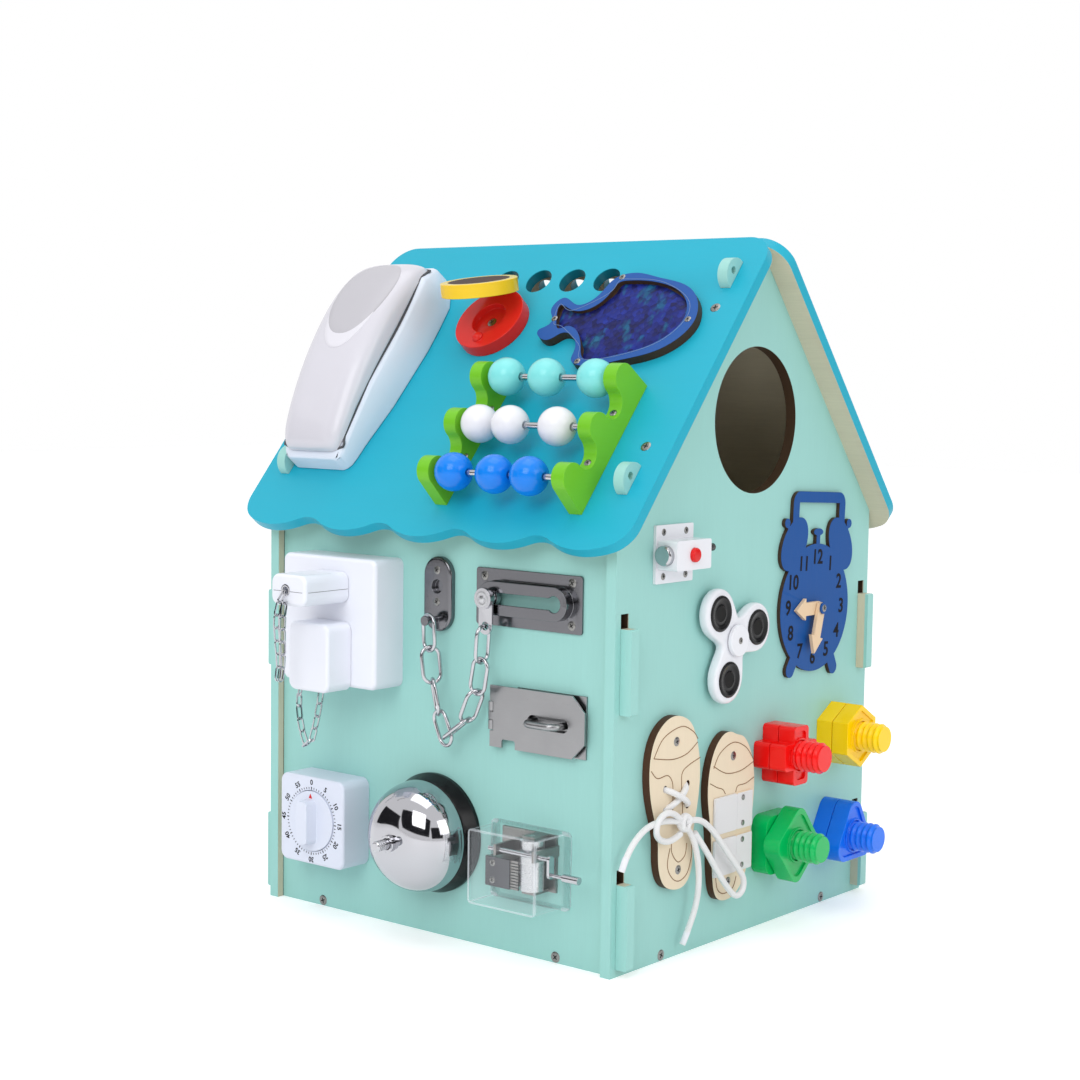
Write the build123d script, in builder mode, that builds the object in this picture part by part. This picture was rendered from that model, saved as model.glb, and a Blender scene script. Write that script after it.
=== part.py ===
"""House-shaped busy board for a toddler: a plywood house whose walls and roof carry
latches, chains, a phone, an abacus, a bell, a music box, a timer, a clock, shoes to
tie, plastic bolts and other things to turn, slide, open and press.

Millimetres. +X runs to the right along the front wall, the front wall faces -Y and
+Z is up. The origin is at the middle of the house's footprint, on the floor.
"""
from build123d import *
from math import atan2, cos, radians, sin, sqrt, tan
import os

# ---------------------------------------------------------------- driving sizes
# House
house_width = 300.0        # over the outer faces of the two gables, along X
house_depth = 300.0        # gable width, along Y
ply = 7.5                  # plywood of every panel
eave_height = 275.0        # top of the gable's upright edge
apex_height = 455.0        # gable apex
panel_inset = 5.5          # front and back panels stand this far inside the gable edges
roof_length = 332.0        # roof panel along X
roof_slope_length = 242.0  # ridge edge to the line through the scallops' cusps
scallops = 5
scallop_depth = 12.0
roof_corner = 20.0         # rounding of the roof's ridge corners
panel_gap = 0.3            # play between panels that only stand beside each other

# Joints between the panels
tab_reach = 6.4            # how far a tab stands out of the panel it passes
tab_height = 53.0
tab_slot_height = 62.0
lower_slot_base = 5.0
upper_slot_base = 163.0
slot_play = 0.15           # play on each face of a tab in its slot
roof_tab_radius = 11.0
roof_tab_places = (33.0, 200.0)     # down the slope from the ridge
roof_tab_hole = 5.0
roof_tab_hole_lift = 4.5
roof_screw_places = (61.0, 174.0)
window_radius = 48.0
window_height = 341.0
handle_hole = 20.4
handle_hole_pitch = 29.5
handle_hole_count = 4
handle_hole_place = 35.0   # down the slope from the ridge
handle_hole_shift = 2.0

# Wood screws
screw_shank = 3.0
screw_head = 7.0
screw_head_depth = 2.0
screw_length = 16.0
short_screw_length = 11.0
base_screw_along_front = 103.0
base_screw_along_gable = 96.5

# Running clearances
running_gap = 0.35         # between faces of different moving bodies
shaft_play = 0.08          # radial, a shaft in its bore

# Abacus, on the front roof
abacus_right = 124.4       # outer face of the right bracket
abacus_span = 109.8        # over the two brackets' outer faces
bracket_thickness = 10.0
bracket_foot = 2.0         # how far a bracket's foot spreads past its end lobes
rod_pitch = 39.3
first_rod_place = 138.0
rod_lift = 21.0
rod_diameter = 4.0
rod_seat = 6.0
bead_diameter = 25.0
bead_rows = (("aqua", (28.6, 61.8, 101.55)),
             ("white", (27.5, 53.0, 91.1)),
             ("blue", (27.8, 61.6, 89.7)))

# Phone, on the front roof
phone_centre = -114.0
handset_floor = 8.0        # what the handset's walls start from before the seam cuts them

# Castanet, on the front roof
castanet_x = -28.5
castanet_place = 77.0
castanet_diameter = 53.0
castanet_thickness = 9.5
castanet_recess = 26.0
castanet_recess_depth = 4.5
castanet_open = 40.0       # degrees
lid_gap = 0.4
striker_diameter = 8.0
striker_place = 17.5

# Whale frame, on the front roof
whale_backing_thickness = 3.0
whale_frame_thickness = 3.5

# Wall socket and plugs, on the front wall
socket_x = -72.8
socket_z = 203.8
socket_size = 86.0
socket_depth = 27.0
socket_corner = 5.0
socket_bevel = 3.0
seat_gap = 0.3             # a plug, lid or nut stops this short of the face it closes on
plug_pin = 4.0
plug_pin_length = 14.0
small_pin_pitch = 12.7
large_pin_pitch = 12.7
large_pin_rise = 16.0
plug_corner = 6.0
plug_round = 2.5
eyelet = 5.0
eyelet_depth = 4.0
eyelet_shift = -2.0
upper_tether_drop = 60.0
small_plug_x = -69.5
small_plug_z = 227.3
small_plug_width = 32.0
small_plug_height = 20.5
small_plug_depth = 40.0
large_plug_x = -69.5
large_plug_z = 181.8
large_plug_width = 37.0
large_plug_height = 45.5
large_plug_depth = 22.0
tether_link_length = 11.0
tether_link_width = 5.6
tether_wire = 1.2
tether_clear = 3.0         # from the socket box's lower side to the tether's end
lower_tether_end_x = -104.0
lower_tether_end_lift = 21.5
# Across, height and lift of the bends that the lower tether hangs in.
lower_tether_sag = [(-68.5, 148, 39), (-71.0, 135, 40), (-77.8, 120.5, 40), (-85.5, 136, 39.5),
                    (-90.5, 150, 36), (-98.0, 158, 27)]

# Door chain, on the front wall
keeper_x = 3.9
keeper_z = 226.0
keeper_width = 24.0
keeper_height = 49.0
keeper_rise = 4.5
post_z = 209.5
post_diameter = 4.0
post_reach = 15.0
post_head = 6.5
post_head_thickness = 1.5
keeper_hole = 9.0
left_strand_lift = 12.5    # of the hanging links' middle
right_strand_lift = 13.6
link_length = 26.0
link_width = 14.5
link_wire = 2.6
guide_x = 78.3
guide_z = 227.8
guide_width = 86.0
guide_height = 36.5
guide_plate = 1.6
guide_rise = 8.5
guide_wall = 1.5
guide_rim_length = 72.0
guide_rim_height = 21.5
guide_slot = 7.4
guide_bulb = 10.5
slider_head = 10.0
slider_head_lift = 3.0
slider_stem = 6.8
slider_boss = 10.0
slider_strap = 11.0
slider_sheet = 1.5
slider_eye = 5.5
strap_lift = 10.75
slider_button = 13.5
slider_button_thickness = 3.0
slider_x = 52.0
slider_travel = 52.0

# Hasp, on the front wall
hasp_right = 127.5
hasp_z = 152.2
hasp_height = 39.5
hasp_sheet = 1.5
hasp_pin_x = 51.0
hasp_pin = 2.6
hasp_barrel = 5.0
hasp_barrel_length = 18.0
hasp_chamfer = 10.0
hasp_slot_length = 32.5
hasp_slot_height = 8.5
hasp_notch = 66.5
hasp_notch_width = 11.0
base_leaf_right = 74.0
staple_middle = 98.2
staple_plate_width = 55.0
staple_left = 86.0
staple_right = 110.5
staple_wire = 4.5
staple_reach = 17.0

# Timer, on the front wall
timer_x = -89.6
timer_z = 65.6
timer_size = 60.0
timer_depth = 25.0
timer_dial = 41.0
timer_corner = 6.0
timer_edge = 2.0
timer_pocket = 3.0
timer_shaft = 6.0
timer_shaft_length = 10.0
timer_dial_proud = 1.0
timer_bar_width = 12.0
timer_bar_length = 31.0
timer_bar_height = 10.0

# Desk bell, on the front wall
bell_x = 1.0
bell_z = 68.0
bell_base_diameter = 79.0
bell_dome_diameter = 73.0
bell_dome_top = 44.0
bell_height = 58.0
bell_lip = 14.5            # the dome's rim from the wall
bell_sheet = 1.2
bell_bead = 1.3
bell_bore = 3.6            # radius of the plunger's bore
bell_post = 5.5            # radius of the post under the dome
bell_collar = 11.0
bell_collar_height = 3.5
plunger_foot = 16.0
plunger_grooves = 3
plunger_groove_pitch = 2.0

# Music box, on the front wall
music_left = 55.0
music_right = 110.0
music_z = 60.0
music_height = 48.0
music_depth = 30.0
music_wall = 1.6
music_flange = 2.0
music_flange_width = 65.0
music_flange_height = 50.5
drum_x = 93.0
drum_z = 56.0
drum_diameter = 15.0
drum_height = 17.0
drum_lift = 12.0
drum_gear = 15.6
drum_spindle = 3.0
drum_journal = 2.5
bed_right = 104.0
bed_thickness = 2.0
bearing_width = 10.0
bearing_thickness = 2.0
comb_left = 60.0
comb_root = 80.0
comb_tip = 86.5
comb_height = 19.0
comb_lift = 16.5
comb_thickness = 1.5
comb_teeth = 10
shaft_post_left = 72.0
shaft_post_right = 103.0
shaft_start = 66.0
crank_shaft = 3.0
crank_arm_x = 114.5
crank_arm_width = 5.0
crank_arm_thickness = 2.0
crank_rod = 2.5
crank_knob_x = 126.0
crank_knob = 5.0
crank_end = 138.0
crank_lift = 22.0
crank_z = 72.0
crank_throw = 9.5

# Push latch, on the right gable
latch_inset = 57.5         # from the gable's front edge
latch_z = 259.2
latch_plate_width = 40.0
latch_plate_height = 36.5
latch_box_length = 37.0
latch_box_height = 18.6
latch_box_depth = 17.0
latch_bolt_diameter = 12.6
latch_bolt_out = 4.0
latch_button = 9.0
latch_button_out = 2.7
latch_plate = 2.0
latch_wall = 2.0
latch_rod = 6.0
latch_bolt_lift = 8.5
latch_bolt_head = 9.0
latch_travel = 3.5
latch_press = 2.2
latch_nub = 5.0
latch_nub_lift = 11.0
latch_nub_out = 3.0

# Spinner, on the right gable
spinner_y = -32.5
spinner_z = 199.5
spinner_arm = 26.0
spinner_arm_angle = 14.0
spinner_thickness = 7.0
spinner_standoff = 2.5
spinner_lobe = 16.0
spinner_ring_bore = 9.6
spinner_middle = 15.0
spinner_axle = 8.0
spinner_boss = 12.0
spinner_cap = 21.0
spinner_cap_thickness = 3.2

# Clock, on the right gable
clock_y = 74.3
clock_z = 211.5
clock_tilt = -3.0
clock_radius = 44.0
clock_board_thickness = 3.0
clock_hand_thickness = 2.6
hour_hand_length = 28.0
minute_hand_length = 32.0
hour_hand_angle = 267.0
minute_hand_angle = 193.0
arrow_length = 12.0
arrow_width = 15.0
clock_pivot = 4.0
clock_cap = 1.2
handle_width = 67.5
handle_top = 79.6
handle_bar = 7.5
handle_round = 8.0
bell_perch = 50.0
clock_bell_x = 30.1
clock_bell_y = 43.7
clock_bell_half_width = 13.5
clock_bell_half_height = 20.5
clock_bell_lean = -37.0
clock_knob_lean = 35.7
clock_knob_reach = 17.5
clock_foot_x = 25.5
clock_foot_y = 38.0

# Shoes, on the right gable
shoe_thickness = 6.0
left_shoe = (-93.0, 101.3)
right_shoe = (-28.8, 82.7)
lace_hole = 4.5
lace_hole_heights = (10.7, -3.0)
lace_hole_spacing = 24.5
lace_diameter = 4.0
lace_knot = 11.0
lace_knot_place = (-89.6, 89.6)
strap_places = ((85.5, "strap_upper"), (57.5, "strap_lower"))
strap_width = 24.0
strap_free_end = -49.5
strap_hinge_y = -24.0
strap_fixed_end = -6.0
strap_thickness = 1.6

# Plastic bolts and nuts, on the right gable
bolt_places = {"red": (25.4, 118.0), "yellow": (104.5, 120.5),
               "green": (25.4, 57.0), "blue": (99.5, 51.0)}
bolt_head_thickness = 12.0
nut_thickness = 12.5
nut_start = 12.5
stud_end = 43.5
stud_radius = 8.8
thread_radius = 10.4
thread_pitch = 4.2
thread_start = 1.0
thread_run_out = 1.5
nut_rim = 3.5
nut_recess = 1.5
nut_hub = 1.5
cross_size = 39.5
cross_arm = 18.0
cross_round = 3.0
hexagon_flats = 38.0
square_size = 40.0
square_round = 8.0
triangle_reach = 15.0
triangle_round = 9.0
nut_turn = {"red": 0.0, "yellow": 0.0, "green": 40.0, "blue": 0.0}

os.makedirs("parts", exist_ok=True)

# -------------------------------------------------------------- worked-out sizes
pitch = atan2(apex_height - eave_height, house_depth / 2)
gable_face = house_width / 2
gable_inner = gable_face - ply
wall_face = house_depth / 2 - panel_inset
panel_inner = wall_face - ply
ridge_y = -ply * sin(pitch)
ridge_z = apex_height + ply * cos(pitch)
scallop_chord = roof_length / scallops


def front(x, z, lift=0.0):
    """A plane on the front wall: its X is +X, its Y is up, its Z points out."""
    return Plane(origin=(x, -wall_face - lift, z), x_dir=(1, 0, 0), z_dir=(0, -1, 0))


def gable(y, z, lift=0.0):
    """A plane on the right gable: its X is +Y, its Y is up, its Z points out."""
    return Plane(origin=(gable_face + lift, y, z), x_dir=(0, 1, 0), z_dir=(1, 0, 0))


def roof(x, place, lift=0.0):
    """A plane on the front roof, place down the slope: its X is +X, its Y is up the slope."""
    y = ridge_y - place * cos(pitch) - lift * sin(pitch)
    z = ridge_z - place * sin(pitch) + lift * cos(pitch)
    return Plane(origin=(x, y, z), x_dir=(1, 0, 0), z_dir=(0, -sin(pitch), cos(pitch)))


def back_roof(x, place, lift=0.0):
    """The same on the back roof, seen from behind: its X is -X."""
    y = -ridge_y + place * cos(pitch) + lift * sin(pitch)
    z = ridge_z - place * sin(pitch) + lift * cos(pitch)
    return Plane(origin=(x, y, z), x_dir=(-1, 0, 0), z_dir=(0, sin(pitch), cos(pitch)))


def roof_section(x, side=-1):
    """A section of the front (-1) or back roof at x: its X is down the slope, its Y is lift."""
    slope = (0, side * cos(pitch), -sin(pitch))
    return Plane(origin=(x, -side * ridge_y, ridge_z), x_dir=slope, z_dir=(side, 0, 0))


def turned(plane, degrees_about_z):
    """The plane turned about its own Z."""
    return Plane(plane.location * Location((0, 0, 0), (0, 0, degrees_about_z)))


def finish(builder, name):
    """Label a finished sub-part and write it to its own file."""
    builder.part.label = name
    export_step(builder.part, f"parts/{name}.step")


def add_screw(seat, length=screw_length):
    """Add a countersunk screw whose head lies flush in the seat plane."""
    with Locations(seat):
        Cone(screw_shank / 2, screw_head / 2, screw_head_depth, align=(Align.CENTER, Align.CENTER, Align.MAX))
        Cylinder(screw_shank / 2, length, align=(Align.CENTER, Align.CENTER, Align.MAX))


def cut_screw(seat, depth):
    """Cut a screw's shank hole and countersink."""
    with Locations(seat):
        Cone(screw_shank / 2, screw_head / 2, screw_head_depth,
             align=(Align.CENTER, Align.CENTER, Align.MAX), mode=Mode.SUBTRACT)
        Cylinder(screw_shank / 2, depth, align=(Align.CENTER, Align.CENTER, Align.MAX), mode=Mode.SUBTRACT)


# ------------------------------------------------------------------- the house
roof_screw_seats = [(x, place) for x in (-1, 1) for place in roof_screw_places]
base_board_middle = ply / 2
front_screws = [front(x, base_board_middle) for x in (-base_screw_along_front, base_screw_along_front)]
back_screws = [Plane(origin=(x, wall_face, base_board_middle), x_dir=(-1, 0, 0), z_dir=(0, 1, 0))
               for x in (-base_screw_along_front, base_screw_along_front)]
right_screws = [gable(y, base_board_middle) for y in (-base_screw_along_gable, base_screw_along_gable)]
left_screws = [Plane(origin=(-gable_face, y, base_board_middle), x_dir=(0, -1, 0), z_dir=(-1, 0, 0))
               for y in (-base_screw_along_gable, base_screw_along_gable)]
gable_middle = gable_face - ply / 2
roof_screws = [roof(side * gable_middle, place) for side, place in roof_screw_seats]
roof_screws += [back_roof(side * gable_middle, place) for side, place in roof_screw_seats]


def gable_panel(side, name):
    """One gable: pentagon, round window, slots for the wall tabs, round tabs for the roof."""
    inner = Plane(origin=(side * gable_inner, 0, 0), x_dir=(0, 1, 0), z_dir=(1, 0, 0))
    with BuildPart() as panel:
        with BuildSketch(inner):
            with BuildLine():
                Polyline((-house_depth / 2, 0), (house_depth / 2, 0), (house_depth / 2, eave_height),
                         (0, apex_height), (-house_depth / 2, eave_height), close=True)
            make_face()
        extrude(amount=side * ply)
        for slope in (-1, 1):
            with BuildSketch(roof_section(side * gable_middle, slope)):
                for place in roof_tab_places:
                    with Locations((place, -ply / 2)):
                        Rectangle(2 * roof_tab_radius, ply + 1)
                    with Locations((place, 0)):
                        Circle(roof_tab_radius)
                    with Locations((place, roof_tab_hole_lift)):
                        Circle(roof_tab_hole / 2, mode=Mode.SUBTRACT)
            extrude(amount=ply / 2, both=True)
        with BuildSketch(inner):
            with Locations((0, window_height)):
                Circle(window_radius)
            for edge in (-1, 1):
                for base in (lower_slot_base, upper_slot_base):
                    with Locations((edge * (wall_face - ply / 2), base + tab_slot_height / 2)):
                        Rectangle(ply + 2 * slot_play, tab_slot_height)
        extrude(amount=side * ply, mode=Mode.SUBTRACT)
        for seat in right_screws if side > 0 else left_screws:
            cut_screw(seat, ply + 1)
        for seat in roof_screws:
            cut_screw(seat, screw_length)
    finish(panel, name)


def wall_panel(side, name, seats):
    """Front (side -1) or back (side 1) panel with its four tabs."""
    top = apex_height - wall_face * tan(pitch) - panel_gap
    outer = Plane(origin=(0, side * wall_face, 0), x_dir=(-side, 0, 0), z_dir=(0, side, 0))
    with BuildPart() as panel:
        with BuildSketch(outer):
            with Locations((0, top / 2)):
                Rectangle(2 * gable_inner, top)
            for edge in (-1, 1):
                for base in (lower_slot_base, upper_slot_base):
                    reach = ply + tab_reach
                    with Locations((edge * (gable_inner + reach / 2), base + tab_height / 2)):
                        RectangleRounded(reach + 4, tab_height, 1.5)
        extrude(amount=-ply)
        for seat in seats:
            cut_screw(seat, ply + 1)
    finish(panel, name)


def roof_panel(place_on, name, seats, short_seats):
    """A roof panel: scalloped eave, finger holes under the ridge, slots for the gables' tabs."""
    half = roof_length / 2
    with BuildPart() as panel:
        with BuildSketch(place_on(0, 0)):
            with BuildLine():
                Line((-half, -roof_slope_length), (-half, 0))
                Line((-half, 0), (half, 0))
                Line((half, 0), (half, -roof_slope_length))
                for i in range(scallops):
                    start = half - i * scallop_chord
                    SagittaArc((start, -roof_slope_length), (start - scallop_chord, -roof_slope_length),
                               scallop_depth)
            make_face()
            fillet(vertices().group_by(Axis.Z)[-1], radius=roof_corner)
        extrude(amount=-ply)
        with BuildSketch(place_on(0, 0)):
            first = handle_hole_shift - handle_hole_pitch * (handle_hole_count - 1) / 2
            for i in range(handle_hole_count):
                shift = first + i * handle_hole_pitch
                along = shift if place_on is roof else -shift
                with Locations((along, -handle_hole_place)):
                    Circle(handle_hole / 2)
            for x in (-gable_middle, gable_middle):
                for place in roof_tab_places:
                    with Locations((x, -place)):
                        Rectangle(ply + 2 * slot_play, 2 * (roof_tab_radius + slot_play))
        extrude(amount=-ply, mode=Mode.SUBTRACT)
        for seat in seats:
            cut_screw(seat, ply + 1)
        for seat in short_seats:
            cut_screw(seat, short_screw_length)
    finish(panel, name)


gable_panel(1, "gable_panel_right")
gable_panel(-1, "gable_panel_left")
wall_panel(-1, "front_panel", front_screws)
wall_panel(1, "back_panel", back_screws)
castanet_seat = roof(castanet_x, castanet_place)
castanet_screw = castanet_seat.offset(castanet_thickness - castanet_recess_depth)
roof_panel(roof, "roof_panel_front", roof_screws[:4], [castanet_screw])
roof_panel(back_roof, "roof_panel_back", roof_screws[4:], [])

with BuildPart() as base_board:
    with BuildSketch():
        Rectangle(2 * (gable_inner - panel_gap), 2 * (panel_inner - panel_gap))
    extrude(amount=ply)
    for seat in front_screws + back_screws + right_screws + left_screws:
        cut_screw(seat, screw_length)
base_board.part.label = "base_board"
export_step(base_board.part, "parts/base_board.step")

# --------------------------------------------------------------------- abacus
abacus_left = abacus_right - abacus_span
rod_places = [first_rod_place + i * rod_pitch for i in range(len(bead_rows))]
lobe_radius = rod_pitch / 4
bracket_base = (rod_places[0] - lobe_radius - bracket_foot, rod_places[-1] + lobe_radius + bracket_foot)

with BuildPart() as abacus_frame:
    for outer_x in (abacus_right, abacus_left):
        with BuildSketch(roof_section(outer_x)):
            with BuildLine():
                Line((bracket_base[1], 0), (bracket_base[0], 0))
                Line((bracket_base[0], 0), (rod_places[0] - lobe_radius, rod_lift))
                for i, place in enumerate(rod_places):
                    ThreePointArc((place - lobe_radius, rod_lift), (place, rod_lift + lobe_radius),
                                  (place + lobe_radius, rod_lift))
                    if i < len(rod_places) - 1:
                        ThreePointArc((place + lobe_radius, rod_lift),
                                      (place + 2 * lobe_radius, rod_lift - lobe_radius),
                                      (place + 3 * lobe_radius, rod_lift))
                Line((rod_places[-1] + lobe_radius, rod_lift), (bracket_base[1], 0))
            make_face()
        extrude(amount=bracket_thickness)
    for place in rod_places:
        with BuildSketch(roof_section(abacus_right - bracket_thickness + rod_seat)):
            with Locations((place, rod_lift)):
                Circle(rod_diameter / 2)
        extrude(amount=abacus_span - bracket_thickness + 2 * rod_seat)
abacus_frame.part.label = "abacus_frame"
export_step(abacus_frame.part, "parts/abacus_frame.step")

for place, (colour, bead_places) in zip(rod_places, bead_rows):
    for number, x in enumerate(bead_places, start=1):
        half = sqrt(bead_diameter**2 / 4 - (rod_diameter / 2 + shaft_play)**2)
        with BuildPart(roof_section(x)) as bead:
            with Locations((place, rod_lift)):
                Sphere(bead_diameter / 2)
                Cylinder(rod_diameter / 2 + shaft_play, bead_diameter, mode=Mode.SUBTRACT)
        bead.part.label = f"bead_{colour}_{number}"
        export_step(bead.part, f"parts/bead_{colour}_{number}.step")

# ------------------------------------------------------------------- castanet
hinge_place = -castanet_diameter / 2
lid_hinge = roof(castanet_x, castanet_place + hinge_place, castanet_thickness + lid_gap / 2)
lid_closed = roof(castanet_x, castanet_place, castanet_thickness + lid_gap)

with BuildPart() as castanet_base:
    with BuildSketch(castanet_seat):
        Circle(castanet_diameter / 2)
    extrude(amount=castanet_thickness)
    with BuildSketch(castanet_seat.offset(castanet_thickness)):
        Circle(castanet_recess / 2)
    extrude(amount=-castanet_recess_depth, mode=Mode.SUBTRACT)
    with Locations(castanet_seat.offset(castanet_thickness) * Location((0, -striker_place, 0))):
        Sphere(striker_diameter / 2)
    cut_screw(castanet_screw, short_screw_length)
castanet_base.part.label = "castanet_base"
export_step(castanet_base.part, "parts/castanet_base.step")

with BuildPart() as castanet_lid_closed:
    with BuildSketch(lid_closed):
        Circle(castanet_diameter / 2)
    extrude(amount=castanet_thickness)
    with BuildSketch(lid_closed):
        Circle(castanet_recess / 2)
    extrude(amount=castanet_recess_depth, mode=Mode.SUBTRACT)
    with Locations(castanet_seat.offset(castanet_thickness) * Location((0, -striker_place, 0))):
        Sphere(striker_diameter / 2 + running_gap, mode=Mode.SUBTRACT)
castanet_lid = castanet_lid_closed.part.rotate(Axis(lid_hinge.origin, (-1, 0, 0)), castanet_open)
castanet_lid.label = "castanet_lid"
export_step(castanet_lid, "parts/castanet_lid.step")

# ---------------------------------------------------------------- whale frame
whale_seat = roof(0, 0)
whale_back = [(20.0, 83.2), (24.9, 76.8), (18.9, 66.0), (23.8, 56.8), (39.4, 63.0), (52.5, 55.5),
              (59.4, 40.1), (71.1, 35.3), (93.8, 39.3), (124.6, 49.4), (138.9, 67.1), (140.8, 78.4),
              (127.4, 99.6), (95.0, 111.5), (70.7, 115.9), (58.4, 110.4), (57.0, 101.3), (38.6, 88.0),
              (27.7, 93.9)]
whale_window = [(29.7, 79.0), (26.5, 63.0), (39.6, 68.3), (61.4, 54.5), (65.1, 43.5), (72.4, 42.0),
                (99.3, 44.7), (125.1, 58.7), (131.9, 75.3), (120.3, 94.6), (92.5, 106.5), (67.0, 108.8),
                (59.7, 97.4), (38.7, 82.4)]


def whale_outline(points):
    """A closed smooth outline through points given across and down the roof."""
    Spline([(x, -place) for x, place in points], periodic=True)


with BuildPart() as whale_frame:
    with BuildSketch(whale_seat):
        with BuildLine():
            whale_outline(whale_back)
        make_face()
    extrude(amount=whale_backing_thickness)
    with BuildSketch(whale_seat.offset(whale_backing_thickness)):
        with BuildLine():
            whale_outline(whale_back)
        make_face()
        with BuildLine():
            whale_outline(whale_window)
        make_face(mode=Mode.SUBTRACT)
    extrude(amount=whale_frame_thickness)
whale_frame.part.label = "whale_frame"
export_step(whale_frame.part, "parts/whale_frame.step")

# ---------------------------------------------------------------------- phone
# Each station: place down the slope, half-width of the cradle, height of its upright
# side, half-width and height at the seam.
cradle_stations = ((38.0, 22.0, 8.0, 20.0, 19.0),
                   (60.0, 34.0, 19.5, 31.5, 33.0),
                   (100.0, 37.0, 15.0, 33.0, 29.5),
                   (150.0, 34.5, 9.0, 31.5, 27.0),
                   (184.0, 29.5, 4.5, 29.0, 20.0),
                   (206.0, 27.5, 3.0, 27.0, 13.5))
# Each station: place, half-width, height of its shoulder, height of its crown.
handset_stations = ((42.0, 17.0, 23.0, 27.0),
                    (52.0, 27.0, 32.0, 39.0),
                    (70.0, 31.0, 38.0, 48.0),
                    (105.0, 32.0, 38.0, 51.5),
                    (142.0, 31.0, 34.0, 46.0),
                    (172.0, 29.5, 28.0, 37.0),
                    (194.0, 27.5, 21.0, 28.5),
                    (203.0, 24.0, 17.5, 22.0))


def roof_station(x, place):
    """A section across the slope: its X is +X, its Y is lift."""
    return Plane(origin=roof(x, place).origin, x_dir=(1, 0, 0), z_dir=(0, -cos(pitch), -sin(pitch)))


with BuildPart() as phone_cradle:
    for place, half, upright, seam_half, seam_height in cradle_stations:
        with BuildSketch(roof_station(phone_centre, place)):
            with BuildLine():
                Polyline((-half, 0), (half, 0), (half, upright), (seam_half, seam_height),
                         (-seam_half, seam_height), (-half, upright), close=True)
            make_face()
    loft(ruled=True)
phone_cradle.part.label = "phone_cradle"
export_step(phone_cradle.part, "parts/phone_cradle.step")

# All that lies under the seam, which the handset's underside follows.
with BuildPart() as below_seam:
    for place, half, upright, seam_half, seam_height in cradle_stations:
        with BuildSketch(roof_station(phone_centre, place)):
            with Locations((0, (seam_height + seat_gap) / 2)):
                Rectangle(2 * house_width, seam_height + seat_gap)
    loft(ruled=True)

with BuildPart() as phone_handset:
    for place, half, shoulder, crown in handset_stations:
        with BuildSketch(roof_station(phone_centre, place)):
            with BuildLine():
                Polyline((-half, shoulder), (-half, handset_floor), (half, handset_floor), (half, shoulder))
                ThreePointArc((half, shoulder), (0, crown), (-half, shoulder))
            make_face()
    loft()
    add(below_seam.part, mode=Mode.SUBTRACT)
phone_handset.part.label = "phone_handset"
export_step(phone_handset.part, "parts/phone_handset.step")

# --------------------------------------------------------------- wall socket
socket = front(socket_x, socket_z)
small_plug_seat = front(small_plug_x, small_plug_z, socket_depth)
large_plug_seat = front(large_plug_x, large_plug_z, socket_depth)
with BuildPart() as socket_box:
    with BuildSketch(socket):
        RectangleRounded(socket_size, socket_size, socket_corner)
    extrude(amount=socket_depth)
    fillet(socket_box.faces().sort_by(Axis.Y)[0].edges(), radius=socket_bevel)
    with Locations(small_plug_seat):
        with GridLocations(small_pin_pitch, 1, 2, 1):
            Hole(plug_pin / 2 + shaft_play, plug_pin_length + 1)
    with Locations(large_plug_seat):
        with GridLocations(large_pin_pitch, large_pin_rise, 2, 2):
            Hole(plug_pin / 2 + shaft_play, plug_pin_length + 1)
socket_box.part.label = "socket_box"
export_step(socket_box.part, "parts/socket_box.step")

with BuildPart() as plug_two_pin:
    with BuildSketch(small_plug_seat.offset(seat_gap)):
        RectangleRounded(small_plug_width, small_plug_height, plug_corner)
    extrude(amount=small_plug_depth - seat_gap)
    fillet(plug_two_pin.faces().sort_by(Axis.Y)[0].edges(), radius=plug_round)
    with BuildSketch(small_plug_seat.offset(seat_gap)):
        with GridLocations(small_pin_pitch, 1, 2, 1):
            Circle(plug_pin / 2)
    extrude(amount=-plug_pin_length)
    with BuildSketch(small_plug_seat.offset(small_plug_depth)):
        with Locations((eyelet_shift, 0)):
            Circle(eyelet / 2)
    extrude(amount=-eyelet_depth, mode=Mode.SUBTRACT)
plug_two_pin.part.label = "plug_two_pin"
export_step(plug_two_pin.part, "parts/plug_two_pin.step")

with BuildPart() as plug_three_pin:
    with BuildSketch(large_plug_seat.offset(seat_gap)):
        RectangleRounded(large_plug_width, large_plug_height, plug_corner)
    extrude(amount=large_plug_depth - seat_gap)
    fillet(plug_three_pin.faces().sort_by(Axis.Y)[0].edges(), radius=plug_round)
    with BuildSketch(large_plug_seat.offset(seat_gap)):
        with GridLocations(large_pin_pitch, large_pin_rise, 2, 2):
            Circle(plug_pin / 2)
    extrude(amount=-plug_pin_length)
plug_three_pin.part.label = "plug_three_pin"
export_step(plug_three_pin.part, "parts/plug_three_pin.step")


# --------------------------------------------------------------------- chains
def link_plane(start, along, normal):
    """A link's plane: its Y runs along the link, its Z is the link's normal, origin at start."""
    along = Vector(*along).normalized()
    normal = Vector(*normal)
    normal = (normal - along * normal.dot(along)).normalized()
    return Plane(origin=start, x_dir=along.cross(normal), z_dir=normal)


def chain_link(plane, length, width, wire, sides):
    """One slot-shaped link whose first end's wire is centred on the plane's origin."""
    radius = (width - wire) / 2
    last = length - wire - radius
    with BuildPart() as link:
        with BuildLine(plane) as loop:
            Line((radius, radius), (radius, last))
            CenterArc((0, last), radius, 0, 180)
            Line((-radius, last), (-radius, radius))
            CenterArc((0, radius), radius, 180, 180)
        with BuildSketch(Plane(origin=loop.line @ 0, x_dir=plane.z_dir, z_dir=loop.line % 0)):
            RegularPolygon(wire / 2, sides, rotation=180 / sides)
        sweep()
    return link.part


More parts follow.
